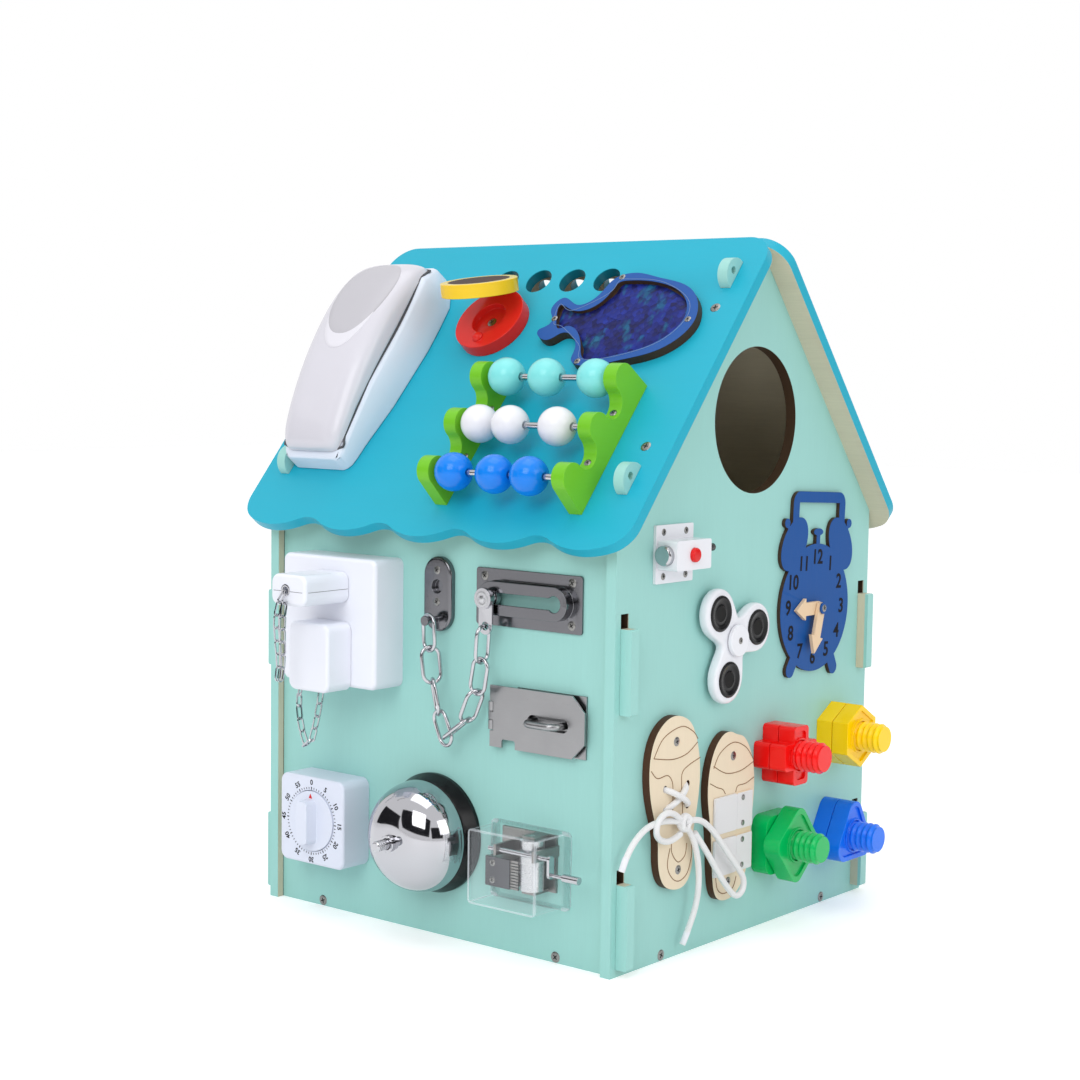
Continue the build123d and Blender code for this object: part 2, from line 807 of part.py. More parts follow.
def tether_links(route):
    """Small links laid along a route, each turned a quarter from the last."""
    links = []
    path = Spline(*[Vector(*point) for point in route], mode=Mode.PRIVATE)
    step = tether_link_length - 2 * tether_wire
    count = int((path.length - tether_wire) / step)
    for i in range(count):
        near = path @ (i * step / path.length)
        far = path @ ((i + 1) * step / path.length)
        across = (0, -1, 0) if i % 2 else (1, 0, 0)
        plane = link_plane(near, far - near, across)
        links.append(chain_link(plane, tether_link_length, tether_link_width, tether_wire, 4))
    return links


def wall_point(x, z, lift):
    """A point in front of the front wall."""
    return (x, -wall_face - lift, z)


upper_tether_lift = socket_depth + small_plug_depth
upper_links = []
for side in (-1, 1):
    x = small_plug_x + eyelet_shift
    upper_links += tether_links([wall_point(x + 0.6 * side, small_plug_z, upper_tether_lift - 1.5),
                                 wall_point(x - 1 + 2.4 * side, small_plug_z - 9, upper_tether_lift + 2.6),
                                 wall_point(x - 2.5 + 2.6 * side, small_plug_z - 30, upper_tether_lift + 2.8),
                                 wall_point(x - 3.5 + 1.2 * side, small_plug_z - upper_tether_drop,
                                            upper_tether_lift + 2.8)])
with BuildPart() as plug_chain_upper:
    add(upper_links)
plug_chain_upper.part.label = "plug_chain_upper"
export_step(plug_chain_upper.part, "parts/plug_chain_upper.step")

lower_tether = [(large_plug_x - eyelet_shift, large_plug_z - large_plug_height / 2,
                 socket_depth + large_plug_depth / 2)]
lower_tether += lower_tether_sag
lower_tether += [(lower_tether_end_x, socket_z - socket_size / 2 - tether_clear, lower_tether_end_lift)]
lower_links = tether_links([wall_point(x, z, lift) for x, z, lift in lower_tether])
with BuildPart() as plug_chain_lower:
    add(lower_links)
plug_chain_lower.part.label = "plug_chain_lower"
export_step(plug_chain_lower.part, "parts/plug_chain_lower.step")

# The door chain: each strand hangs from its own end and the two hook together below.


def hang_strand(start, lift, leans, twists, side):
    """Big links hung from start, each leaning to the given side and twisted about its length."""
    x, z = start
    links = []
    for i, (lean, twist) in enumerate(zip(leans, twists)):
        along = Vector(side * sin(radians(lean)), 0, -cos(radians(lean)))
        face = Vector(0, -cos(radians(twist)), 0) + along.cross(Vector(0, 1, 0)) * -sin(radians(twist))
        plane = link_plane(wall_point(x, z, lift), along, face)
        links.append(chain_link(plane, link_length, link_width, link_wire, 8))
        next_lean = leans[min(i + 1, len(leans) - 1)]
        turn = radians((lean + next_lean) / 2)
        reach = link_length - link_wire
        x += side * (reach * sin(radians(lean)) - link_wire * sin(turn))
        z -= reach * cos(radians(lean)) - link_wire * cos(turn)
    return links


keeper_hook = (keeper_x, post_z + post_diameter / 2 + link_wire / 2 + running_gap)
slider_hook = (slider_x, post_z + 0.7)
left_links = hang_strand(keeper_hook, left_strand_lift, (4, 8, 14, 24), (12, -60, 41, 8), 1)
with BuildPart() as door_chain_left:
    add(left_links)
door_chain_left.part.label = "door_chain_left"
export_step(door_chain_left.part, "parts/door_chain_left.step")

right_links = hang_strand(slider_hook, right_strand_lift, (4, 10, 23.5, 53), (-90, 0, -75, 78), -1)
with BuildPart() as door_chain_right:
    add(right_links)
door_chain_right.part.label = "door_chain_right"
export_step(door_chain_right.part, "parts/door_chain_right.step")

keeper = front(keeper_x, keeper_z)
guide = front(guide_x, guide_z)
with BuildPart() as door_chain_plates:
    with BuildSketch(keeper):
        SlotOverall(keeper_height, keeper_width, rotation=90)
    extrude(amount=keeper_rise)
    fillet(door_chain_plates.faces().sort_by(Axis.Y)[0].edges(), radius=2)
    with BuildSketch(keeper.offset(keeper_rise)):
        with Locations((0, 5)):
            Circle(keeper_hole / 2)
    extrude(amount=-keeper_rise + 1, mode=Mode.SUBTRACT)
    with BuildSketch(front(keeper_x, post_z, keeper_rise - 1)):
        Circle(post_diameter / 2)
    extrude(amount=post_reach - keeper_rise + 1)
    with BuildSketch(front(keeper_x, post_z, post_reach)):
        Circle(post_head / 2)
    extrude(amount=post_head_thickness)
    with BuildSketch(guide):
        RectangleRounded(guide_width, guide_height, 2)
    extrude(amount=guide_plate)
    with BuildSketch(guide):
        SlotOverall(guide_rim_length, guide_rim_height)
    extrude(amount=guide_rise)
    with BuildSketch(guide):
        SlotOverall(guide_rim_length - 2 * guide_wall, guide_rim_height - 2 * guide_wall)
    extrude(amount=guide_rise - guide_wall, mode=Mode.SUBTRACT)
    with BuildSketch(guide.offset(guide_rise)):
        with Locations((slider_x + slider_travel / 2 - guide_x, 0)):
            SlotCenterToCenter(slider_travel, guide_slot)
        with Locations((slider_x + slider_travel - guide_x, 0)):
            Circle(guide_bulb / 2)
    extrude(amount=-guide_wall, mode=Mode.SUBTRACT)
door_chain_plates.part.label = "door_chain_plates"
export_step(door_chain_plates.part, "parts/door_chain_plates.step")

with BuildPart() as chain_slider:
    with BuildSketch(front(slider_x, guide_z, slider_head_lift)):
        Circle(slider_head / 2)
    extrude(amount=guide_rise - guide_wall - running_gap - slider_head_lift)
    with BuildSketch(front(slider_x, guide_z, slider_head_lift)):
        Circle(slider_stem / 2)
    extrude(amount=strap_lift - slider_head_lift)
    with BuildSketch(front(slider_x, guide_z, guide_rise + running_gap)):
        Circle(slider_boss / 2)
    extrude(amount=strap_lift - guide_rise - running_gap)
    with BuildSketch(front(slider_x, guide_z, strap_lift)):
        with Locations((0, (slider_hook[1] - guide_z) / 2)):
            SlotCenterToCenter(guide_z - slider_hook[1], slider_strap, rotation=90)
        with Locations((0, slider_hook[1] - guide_z)):
            Circle(slider_eye / 2, mode=Mode.SUBTRACT)
    extrude(amount=slider_sheet)
    with BuildSketch(front(slider_x, guide_z, strap_lift + slider_sheet)):
        Circle(slider_button / 2)
    extrude(amount=slider_button_thickness)
chain_slider.part.label = "chain_slider"
export_step(chain_slider.part, "parts/chain_slider.step")

# ----------------------------------------------------------------------- hasp
hasp_pin_lift = hasp_barrel / 2 + 0.5
leaf_lift = hasp_pin_lift + hasp_barrel / 2 - hasp_sheet
barrel_third = hasp_barrel_length / 3
with BuildPart() as hasp_base:
    with BuildSketch(front(0, 0)):
        with Locations(((hasp_pin_x + base_leaf_right) / 2, hasp_z)):
            Rectangle(base_leaf_right - hasp_pin_x, hasp_barrel_length)
        with Locations((hasp_pin_x, hasp_z)):
            Rectangle(hasp_barrel + 2 * running_gap, barrel_third + 2 * running_gap, mode=Mode.SUBTRACT)
    extrude(amount=hasp_sheet)
    for shift in (-barrel_third, barrel_third):
        with BuildSketch(Plane.XY.offset(hasp_z + shift - barrel_third / 2)):
            with Locations((hasp_pin_x, -wall_face - hasp_pin_lift)):
                Circle(hasp_barrel / 2)
        extrude(amount=barrel_third)
    with BuildSketch(Plane.XY.offset(hasp_z - hasp_barrel_length / 2)):
        with Locations((hasp_pin_x, -wall_face - hasp_pin_lift)):
            Circle(hasp_pin / 2)
    extrude(amount=hasp_barrel_length)
    with BuildSketch(front(staple_middle, hasp_z)):
        Rectangle(staple_plate_width, hasp_height)
    extrude(amount=hasp_sheet)
    with BuildLine(Plane(origin=(0, -wall_face, hasp_z), x_dir=(1, 0, 0), z_dir=(0, 0, 1))) as staple:
        bend = staple_wire * 1.5
        crown = -staple_reach + staple_wire / 2
        FilletPolyline((staple_left, -0.5), (staple_left, crown), (staple_right, crown),
                       (staple_right, -0.5), radius=bend)
    with BuildSketch(Plane(origin=staple.line @ 0, x_dir=(1, 0, 0), z_dir=staple.line % 0)):
        Circle(staple_wire / 2)
    sweep()
hasp_base.part.label = "hasp_base"
export_step(hasp_base.part, "parts/hasp_base.step")

with BuildPart() as hasp_leaf:
    with BuildSketch(front(0, 0, leaf_lift)):
        with BuildLine():
            top = hasp_z + hasp_height / 2
            bottom = hasp_z - hasp_height / 2
            Polyline((hasp_pin_x, top), (hasp_right - hasp_chamfer, top), (hasp_right, top - hasp_chamfer),
                     (hasp_right, bottom + hasp_chamfer), (hasp_right - hasp_chamfer, bottom),
                     (hasp_pin_x, bottom), close=True)
        make_face()
        with Locations((staple_middle, hasp_z)):
            SlotOverall(hasp_slot_length, hasp_slot_height, mode=Mode.SUBTRACT)
        with Locations((hasp_notch, bottom)):
            RectangleRounded(hasp_notch_width, hasp_notch_width, 1.5, mode=Mode.SUBTRACT)
        for shift in (-barrel_third, barrel_third):
            with Locations((hasp_pin_x, hasp_z + shift)):
                Rectangle(hasp_barrel + 2 * running_gap, barrel_third + 2 * running_gap, mode=Mode.SUBTRACT)
    extrude(amount=hasp_sheet)
    with BuildSketch(Plane.XY.offset(hasp_z - barrel_third / 2 + running_gap)):
        with Locations((hasp_pin_x, -wall_face - hasp_pin_lift)):
            Circle(hasp_barrel / 2)
    extrude(amount=barrel_third - 2 * running_gap)
    with BuildSketch(Plane.XY.offset(hasp_z - hasp_height / 2)):
        with Locations((hasp_pin_x, -wall_face - hasp_pin_lift)):
            Circle(hasp_pin / 2 + shaft_play)
    extrude(amount=hasp_height, mode=Mode.SUBTRACT)
hasp_leaf.part.label = "hasp_leaf"
export_step(hasp_leaf.part, "parts/hasp_leaf.step")

# ---------------------------------------------------------------------- timer
timer = front(timer_x, timer_z)
with BuildPart() as timer_case:
    with BuildSketch(timer):
        RectangleRounded(timer_size, timer_size, timer_corner)
    extrude(amount=timer_depth)
    fillet(timer_case.faces().sort_by(Axis.Y)[0].edges(), radius=timer_edge)
    with Locations(timer.offset(timer_depth)):
        Hole(timer_dial / 2 + running_gap, timer_pocket)
    with Locations(timer.offset(timer_depth - timer_pocket)):
        Hole(timer_shaft / 2 + shaft_play, timer_shaft_length + 1)
timer_case.part.label = "timer_case"
export_step(timer_case.part, "parts/timer_case.step")

dial_back = timer_depth - timer_pocket + running_gap
with BuildPart() as timer_dial_knob:
    with BuildSketch(timer.offset(dial_back)):
        Circle(timer_dial / 2)
    extrude(amount=timer_depth - dial_back + timer_dial_proud)
    with BuildSketch(timer.offset(timer_depth)):
        RectangleRounded(timer_bar_width, timer_bar_length, timer_bar_width / 3)
    extrude(amount=timer_bar_height, taper=6)
    with BuildSketch(timer.offset(dial_back)):
        Circle(timer_shaft / 2)
    extrude(amount=-timer_shaft_length)
timer_dial_knob.part.label = "timer_dial"
export_step(timer_dial_knob.part, "parts/timer_dial.step")

# ------------------------------------------------------------------ desk bell
bell_section = Plane(origin=(bell_x, -wall_face, bell_z), x_dir=(1, 0, 0), z_dir=(0, 0, 1))
bell_axis = Axis((bell_x, -wall_face, bell_z), (0, -1, 0))


def bell_profile(points):
    """A closed polygon in the bell's half-section: radius outwards, distance from the wall."""
    Polyline([(radius, -lift) for radius, lift in points], close=True)


bell_rim = bell_dome_diameter / 2
with BuildPart() as bell_base:
    with BuildSketch(bell_section):
        with BuildLine():
            bell_profile([(bell_bore, 0), (bell_base_diameter / 2, 0), (bell_base_diameter / 2, 3),
                          (bell_rim - 1, bell_lip - 3), (bell_rim - 4, bell_lip - 1.5),
                          (bell_rim - 8, bell_lip - 6), (bell_post, bell_lip - 6),
                          (bell_post, bell_dome_top - bell_sheet), (bell_bore, bell_dome_top - bell_sheet)])
        make_face()
    revolve(axis=bell_axis)
bell_base.part.label = "bell_base"
export_step(bell_base.part, "parts/bell_base.step")

with BuildPart() as bell_dome:
    with BuildSketch(bell_section):
        with BuildLine():
            inner_rim = bell_rim - bell_sheet
            inner_top = bell_dome_top - bell_sheet
            Polyline((bell_collar / 2, -bell_dome_top), (bell_bore, -bell_dome_top), (bell_bore, -inner_top),
                     (bell_post, -inner_top))
            inner_shoulder = (inner_rim * 0.72, -bell_lip - (inner_top - bell_lip) * 0.70)
            ThreePointArc((bell_post, -inner_top), inner_shoulder, (inner_rim, -bell_lip))
            Line((inner_rim, -bell_lip), (bell_rim, -bell_lip))
            ThreePointArc((bell_rim, -bell_lip),
                          (bell_rim * 0.725, -bell_lip - (bell_dome_top - bell_lip) * 0.71),
                          (bell_collar / 2, -bell_dome_top))
        make_face()
        with Locations((bell_rim - bell_bead, -bell_lip)):
            Circle(bell_bead)
        with BuildLine():
            collar_foot = bell_dome_top - bell_sheet
            collar_top = bell_dome_top + bell_collar_height
            bell_profile([(bell_bore, collar_foot), (bell_collar / 2, collar_foot),
                          (bell_collar / 2, collar_top), (bell_bore, collar_top)])
        make_face()
    revolve(axis=bell_axis)
bell_dome.part.label = "bell_dome"
export_step(bell_dome.part, "parts/bell_dome.step")

plunger_radius = bell_bore - shaft_play
with BuildPart() as bell_plunger:
    with BuildSketch(bell_section):
        with BuildLine():
            Polyline((0, -plunger_foot), (plunger_radius, -plunger_foot), (plunger_radius, -bell_height + 1),
                     (plunger_radius - 1, -bell_height), (0, -bell_height), close=True)
        make_face()
        for i in range(plunger_grooves):
            with Locations((plunger_radius, -bell_height + 2 + i * plunger_groove_pitch)):
                Rectangle(1.2, plunger_groove_pitch / 2, mode=Mode.SUBTRACT)
    revolve(axis=bell_axis)
bell_plunger.part.label = "bell_plunger"
export_step(bell_plunger.part, "parts/bell_plunger.step")

# ------------------------------------------------------------------ music box
music_x = (music_left + music_right) / 2
music = front(music_x, music_z)
with BuildPart() as music_box_cover:
    with BuildSketch(music):
        RectangleRounded(music_flange_width, music_flange_height, 4)
    extrude(amount=music_flange)
    with BuildSketch(music):
        RectangleRounded(music_right - music_left, music_height, 3)
    extrude(amount=music_depth)
    with BuildSketch(music):
        RectangleRounded(music_right - music_left - 2 * music_wall, music_height - 2 * music_wall, 2)
    extrude(amount=music_depth - music_wall, mode=Mode.SUBTRACT)
    with BuildSketch(Plane(origin=(music_right, -wall_face - crank_lift, crank_z), z_dir=(1, 0, 0))):
        Circle(crank_shaft / 2 + shaft_play)
    extrude(amount=music_wall * 2, both=True, mode=Mode.SUBTRACT)
music_box_cover.part.label = "music_box_cover"
export_step(music_box_cover.part, "parts/music_box_cover.step")

drum_bottom = drum_z - drum_height / 2
drum_top = drum_z + drum_height / 2
drum_axis_y = -wall_face - drum_lift
gear_height = 2 * (crank_z - drum_top)
with BuildPart() as music_drum:
    with BuildSketch(Plane.XY.offset(drum_bottom)):
        with Locations((drum_x, drum_axis_y)):
            Circle(drum_diameter / 2)
    extrude(amount=drum_height)
    with BuildSketch(Plane.XY.offset(drum_top)):
        with Locations((drum_x, drum_axis_y)):
            Circle(drum_gear / 2)
    extrude(amount=gear_height)
    with BuildSketch(Plane.XY.offset(drum_bottom - drum_journal)):
        with Locations((drum_x, drum_axis_y)):
            Circle(drum_spindle / 2)
    extrude(amount=drum_height + gear_height + 2 * drum_journal)
music_drum.part.label = "music_drum"
export_step(music_drum.part, "parts/music_drum.step")

bed_top = drum_top + gear_height + seat_gap
bed_bottom = drum_bottom - seat_gap
with BuildPart() as music_movement:
    with BuildSketch(front((comb_left + bed_right) / 2, (bed_top + bed_bottom) / 2)):
        Rectangle(bed_right - comb_left, bed_top - bed_bottom + 2 * bearing_thickness)
    extrude(amount=bed_thickness)
    for base in (bed_bottom - bearing_thickness, bed_top):
        with BuildSketch(Plane.XY.offset(base)):
            with Locations((drum_x, -wall_face - drum_lift / 2 - 2)):
                Rectangle(bearing_width, drum_lift + 4)
            with Locations((drum_x, drum_axis_y)):
                Circle(drum_spindle / 2 + shaft_play, mode=Mode.SUBTRACT)
        extrude(amount=bearing_thickness)
    with BuildSketch(front((comb_left + comb_root) / 2, drum_z, 0)):
        Rectangle(comb_root - comb_left, comb_height - 1)
    extrude(amount=comb_lift)
    with BuildSketch(front(0, 0, comb_lift)):
        with Locations(((comb_left + comb_root) / 2, drum_z)):
            Rectangle(comb_root - comb_left, comb_height)
        tooth = comb_height / comb_teeth
        for i in range(comb_teeth):
            with Locations(((comb_root + comb_tip) / 2 - 0.5, drum_z + (i - (comb_teeth - 1) / 2) * tooth)):
                Rectangle(comb_tip - comb_root + 1, tooth * 0.7)
    extrude(amount=comb_thickness)
    for post_x in (shaft_post_left, shaft_post_right):
        with BuildSketch(Plane.YZ.offset(post_x)):
            with Locations((-wall_face - crank_lift / 2 - 1.5, crank_z)):
                Rectangle(crank_lift + 3, crank_shaft + 4)
            with Locations((-wall_face - crank_lift, crank_z)):
                Circle(crank_shaft / 2 + shaft_play, mode=Mode.SUBTRACT)
        extrude(amount=bearing_thickness)
music_movement.part.label = "music_movement"
export_step(music_movement.part, "parts/music_movement.step")

with BuildPart() as music_crank:
    with BuildSketch(Plane.YZ.offset(shaft_start)):
        with Locations((-wall_face - crank_lift, crank_z)):
            Circle(crank_shaft / 2)
    extrude(amount=crank_arm_x - shaft_start)
    with BuildSketch(Plane.YZ.offset(crank_arm_x)):
        with Locations((-wall_face - crank_lift, crank_z - crank_throw / 2)):
            SlotCenterToCenter(crank_throw, crank_arm_width, rotation=90)
    extrude(amount=crank_arm_thickness)
    with BuildSketch(Plane.YZ.offset(crank_arm_x)):
        with Locations((-wall_face - crank_lift, crank_z - crank_throw)):
            Circle(crank_rod / 2)
    extrude(amount=crank_knob_x - crank_arm_x + 1)
    with BuildSketch(Plane.YZ.offset(crank_knob_x)):
        with Locations((-wall_face - crank_lift, crank_z - crank_throw)):
            Circle(crank_knob / 2)
    extrude(amount=crank_end - crank_knob_x)
music_crank.part.label = "music_crank"
export_step(music_crank.part, "parts/music_crank.step")

# ----------------------------------------------------------------- push latch
latch_y = latch_inset - house_depth / 2
latch = gable(latch_y, latch_z)
bolt_start = latch_y - latch_box_length / 2
bolt_bore_end = bolt_start + latch_bolt_head + latch_travel + seat_gap
button_floor = latch_bolt_lift + latch_rod / 2
with BuildPart() as latch_housing:
    with BuildSketch(latch):
        RectangleRounded(latch_plate_width, latch_plate_height, 1)
    extrude(amount=latch_plate)
    with BuildSketch(latch):
        RectangleRounded(latch_box_length, latch_box_height, 1.5)
    extrude(amount=latch_box_depth)
    nub_root = (gable_face + latch_nub_lift, latch_y + latch_box_length / 2 - 1, latch_z + 2)
    with BuildSketch(Plane(origin=nub_root, z_dir=(0, 1, 0))):
        Circle(latch_nub / 2)
    extrude(amount=latch_nub_out + 1)
    with BuildSketch(Plane(origin=(gable_face + latch_bolt_lift, bolt_start, latch_z), z_dir=(0, 1, 0))):
        Circle(latch_bolt_diameter / 2 + shaft_play)
    extrude(amount=bolt_bore_end - bolt_start, mode=Mode.SUBTRACT)
    with BuildSketch(Plane(origin=(gable_face + latch_bolt_lift, bolt_start, latch_z), z_dir=(0, 1, 0))):
        Circle(latch_rod / 2 + shaft_play)
    extrude(amount=latch_box_length - latch_wall, mode=Mode.SUBTRACT)
    with BuildSketch(gable(latch_y, latch_z, button_floor)):
        Circle(latch_button / 2 + shaft_play)
    extrude(amount=latch_box_depth, mode=Mode.SUBTRACT)
latch_housing.part.label = "latch_housing"
export_step(latch_housing.part, "parts/latch_housing.step")

with BuildPart() as latch_bolt:
    with BuildSketch(Plane(origin=(gable_face + latch_bolt_lift, bolt_start - latch_bolt_out, latch_z),
                           z_dir=(0, 1, 0))):
        Circle(latch_bolt_diameter / 2)
    extrude(amount=latch_bolt_out + latch_bolt_head)
    chamfer(latch_bolt.faces().sort_by(Axis.Y)[0].edges(), length=1)
    with BuildSketch(Plane(origin=(gable_face + latch_bolt_lift, bolt_start, latch_z), z_dir=(0, 1, 0))):
        Circle(latch_rod / 2)
    extrude(amount=latch_box_length - latch_wall - latch_travel - seat_gap)
latch_bolt.part.label = "latch_bolt"
export_step(latch_bolt.part, "parts/latch_bolt.step")

with BuildPart() as latch_button_cap:
    with BuildSketch(gable(latch_y, latch_z, button_floor + latch_press + seat_gap)):
        Circle(latch_button / 2)
    extrude(amount=latch_box_depth + latch_button_out - button_floor - latch_press - seat_gap)
    chamfer(latch_button_cap.faces().sort_by(Axis.X)[-1].edges(), length=0.8)
latch_button_cap.part.label = "latch_button"
export_step(latch_button_cap.part, "parts/latch_button.step")

# -------------------------------------------------------------------- spinner
spinner = gable(spinner_y, spinner_z)
with BuildPart() as spinner_body:
    with BuildSketch(spinner.offset(spinner_standoff)):
        Circle(spinner_middle)
        with PolarLocations(spinner_arm, 3, start_angle=spinner_arm_angle):
            Circle(spinner_lobe)
    extrude(amount=spinner_thickness)
    with Locations(spinner.offset(spinner_standoff)):
        Hole(spinner_axle / 2 + shaft_play)
        with PolarLocations(spinner_arm, 3, start_angle=spinner_arm_angle):
            Hole(spinner_ring_bore / 2)
spinner_body.part.label = "spinner_body"
export_step(spinner_body.part, "parts/spinner_body.step")

with BuildPart() as spinner_cap_axle:
    with BuildSketch(spinner):
        Circle(spinner_boss / 2)
    extrude(amount=spinner_standoff - running_gap)
    with BuildSketch(spinner):
        Circle(spinner_axle / 2)
    extrude(amount=spinner_standoff + spinner_thickness + running_gap)
    with BuildSketch(spinner.offset(spinner_standoff + spinner_thickness + running_gap)):
        Circle(spinner_cap / 2)
    extrude(amount=spinner_cap_thickness)
    fillet(spinner_cap_axle.faces().sort_by(Axis.X)[-1].edges(), radius=1)
spinner_cap_axle.part.label = "spinner_cap"
export_step(spinner_cap_axle.part, "parts/spinner_cap.step")

# ---------------------------------------------------------------------- clock
clock = turned(gable(clock_y, clock_z), clock_tilt)
with BuildPart() as clock_board:
    with BuildSketch(clock):
        with Locations((0, (handle_top + bell_perch) / 2)):
            RectangleRounded(handle_width, handle_top - bell_perch, handle_round)
            Rectangle(handle_width - 2 * handle_bar, handle_top - bell_perch - 2 * handle_bar,
                      mode=Mode.SUBTRACT)
        with Locations((0, bell_perch)):
            Rectangle(handle_width - 2 * handle_bar, handle_round * 2, mode=Mode.SUBTRACT)
        Circle(clock_radius)
        for side in (-1, 1):
            with Locations(Location((side * clock_bell_x, clock_bell_y, 0), (0, 0, -side * clock_bell_lean))):
                Ellipse(clock_bell_half_width, clock_bell_half_height)
            with Locations(Location((side * clock_bell_x, clock_bell_y, 0), (0, 0, -side * clock_knob_lean))):
                with Locations((0, clock_knob_reach / 2)):
                    Rectangle(3, clock_knob_reach)
                with Locations((0, clock_knob_reach)):
                    Circle(3.2)
            with Locations(Location((side * clock_foot_x, -clock_foot_y, 0), (0, 0, side * 30))):
                SlotOverall(20, 10, rotation=90)
        with Locations((0, clock_radius + 3)):
            Rectangle(4.5, 10)
        with Locations((0, clock_radius + 8)):
            Ellipse(6, 2.5)
    extrude(amount=clock_board_thickness)
    with BuildSketch(clock.offset(clock_board_thickness)):
        Circle(clock_pivot / 2)
    extrude(amount=2 * (clock_hand_thickness + running_gap) + running_gap)
    with BuildSketch(clock.offset(clock_board_thickness + 2 * clock_hand_thickness + 3 * running_gap)):
        Circle(clock_pivot)
    extrude(amount=clock_cap)
clock_board.part.label = "clock_board"
export_step(clock_board.part, "parts/clock_board.step")


def clock_hand(length, width, lift, pointing):
    """A flat arrow hand about the clock's pivot, pointing degrees clockwise from twelve."""
    with BuildPart() as hand:
        with BuildSketch(turned(clock.offset(lift), -pointing)):
            with BuildLine():
                neck = length - arrow_length
                Polyline((-width / 2, 0), (width / 2, 0), (width / 2, neck), (arrow_width / 2, neck),
                         (0, length), (-arrow_width / 2, neck), (-width / 2, neck), close=True)
            make_face()
            Circle(width / 2)
            Circle(clock_pivot / 2 + shaft_play, mode=Mode.SUBTRACT)
        extrude(amount=clock_hand_thickness)
    return hand.part


hour_hand_lift = clock_board_thickness + running_gap
minute_hand_lift = hour_hand_lift + clock_hand_thickness + running_gap
hour_hand = clock_hand(hour_hand_length, 9.0, hour_hand_lift, hour_hand_angle)
hour_hand.label = "hour_hand"
export_step(hour_hand, "parts/hour_hand.step")
minute_hand = clock_hand(minute_hand_length, 8.0, minute_hand_lift, minute_hand_angle)
minute_hand.label = "minute_hand"
export_step(minute_hand, "parts/minute_hand.step")

# ---------------------------------------------------------------------- shoes
left_outline = [(5.7, 55), (-7.8, 54.5), (-20.8, 44.9), (-27, 22), (-23.2, -0.7), (-17, -20), (-16, -36),
                (-9, -51), (0, -55), (13.3, -53.9), (20.5, -43.6), (20.7, -28.6), (24.5, -8), (27.5, 20),
                (24, 36.7), (15.6, 50.4)]
right_outline = [(2.7, 54.8), (-9.8, 55.3), (-19.7, 46.7), (-25.3, 33.5), (-26.7, 16.3), (-23, -5),
                 (-19.7, -37.7), (-14, -51.8), (-3.5, -54.8), (6.9, -52.3), (19.1, -39), (24.4, -9.8),
                 (26.7, 11.4), (26.1, 28.4), (21.2, 42.2), (12.3, 51.7)]
with BuildPart() as shoe_boards:
    for (y, z), outline in ((left_shoe, left_outline), (right_shoe, right_outline)):
        with BuildSketch(gable(y, z)):
            with BuildLine():
                Spline(outline, periodic=True)
            make_face()
        extrude(amount=shoe_thickness)
    with BuildSketch(gable(left_shoe[0], left_shoe[1])):
        for height in lace_hole_heights:
            for side in (-1, 1):
                with Locations((side * lace_hole_spacing / 2 + 2, height)):
                    Circle(lace_hole / 2)
    extrude(amount=shoe_thickness, mode=Mode.SUBTRACT)
    for height, _ in strap_places:
        with BuildSketch(gable(right_shoe[0], height, shoe_thickness)):
            with Locations(((strap_hinge_y + strap_fixed_end) / 2 - right_shoe[0], 0)):
                Rectangle(strap_fixed_end - strap_hinge_y, strap_width)
        extrude(amount=strap_thickness)
shoe_boards.part.label = "shoe_boards"
export_step(shoe_boards.part, "parts/shoe_boards.step")

for height, name in strap_places:
    with BuildPart() as strap:
        with BuildSketch(gable(right_shoe[0], height, shoe_thickness + running_gap)):
            with Locations(((strap_hinge_y + strap_free_end) / 2 - right_shoe[0] - running_gap, 0)):
                Rectangle(strap_hinge_y - strap_free_end, strap_width)
        extrude(amount=strap_thickness)
    strap.part.label = name
    export_step(strap.part, f"parts/{name}.step")


def cord_route(points):
    """Straight runs joined by arcs as large as their runs allow, with the arcs' radii."""
    radii = []
    for before, here, after in zip(points, points[1:], points[2:]):
        shorter = min((here - before).length, (after - here).length)
        turn = radians((here - before).get_angle(after - here))
        radii.append(0.45 * shorter / tan(turn / 2))
    return FilletPolyline(*points, radius=radii), radii


# Y, Z and the height of the cord's middle over the gable, from the knot outwards.
lace_runs = {
    "end": [(-90, 90, 11), (-101, 92.5, 10.5), (-114, 94, 10), (-127, 92.5, 9.5), (-138, 86.5, 9),
            (-145, 77, 7.5), (-148.5, 68, 6.5)],
    "small loop": [(-90, 90, 11), (-100.5, 97, 12.5), (-112, 100, 13), (-120, 95.5, 12.5), (-121, 87, 12),
                   (-113.5, 81.5, 11), (-102.5, 79.5, 11), (-93, 83, 11)],
    "big loop": [(-90, 90, 12), (-79, 91, 13), (-66, 84.5, 13.5), (-54.5, 73, 14.5), (-43.5, 61, 15),
                 (-32.5, 50.5, 15), (-25, 42, 15), (-26, 33.5, 14.5), (-34.5, 31.5, 14.5), (-43.5, 39.5, 14),
                 (-55.5, 53, 13.5), (-67.5, 68.5, 13), (-79, 81.5, 12)],
    "hanging end": [(-90, 90, 10), (-81, 81.5, 11), (-75, 68, 11.5), (-72, 52, 11.5), (-71.5, 36, 10),
                    (-75, 21, 7.5), (-81.5, 8.5, 6)]}
lace_tubes = []
for name, run in lace_runs.items():
    with BuildPart() as lace_tube:
        with BuildLine() as route:
            _, radii = cord_route([Vector(gable_face + lift, y, z) for y, z, lift in run])
        with BuildSketch(Plane(origin=route.line @ 0, z_dir=route.line % 0)):
            Circle(lace_diameter / 2)
        sweep()
    lace_tubes.append(lace_tube.part)
    print("shoelace", name, "radii", [round(radius, 1) for radius in radii])
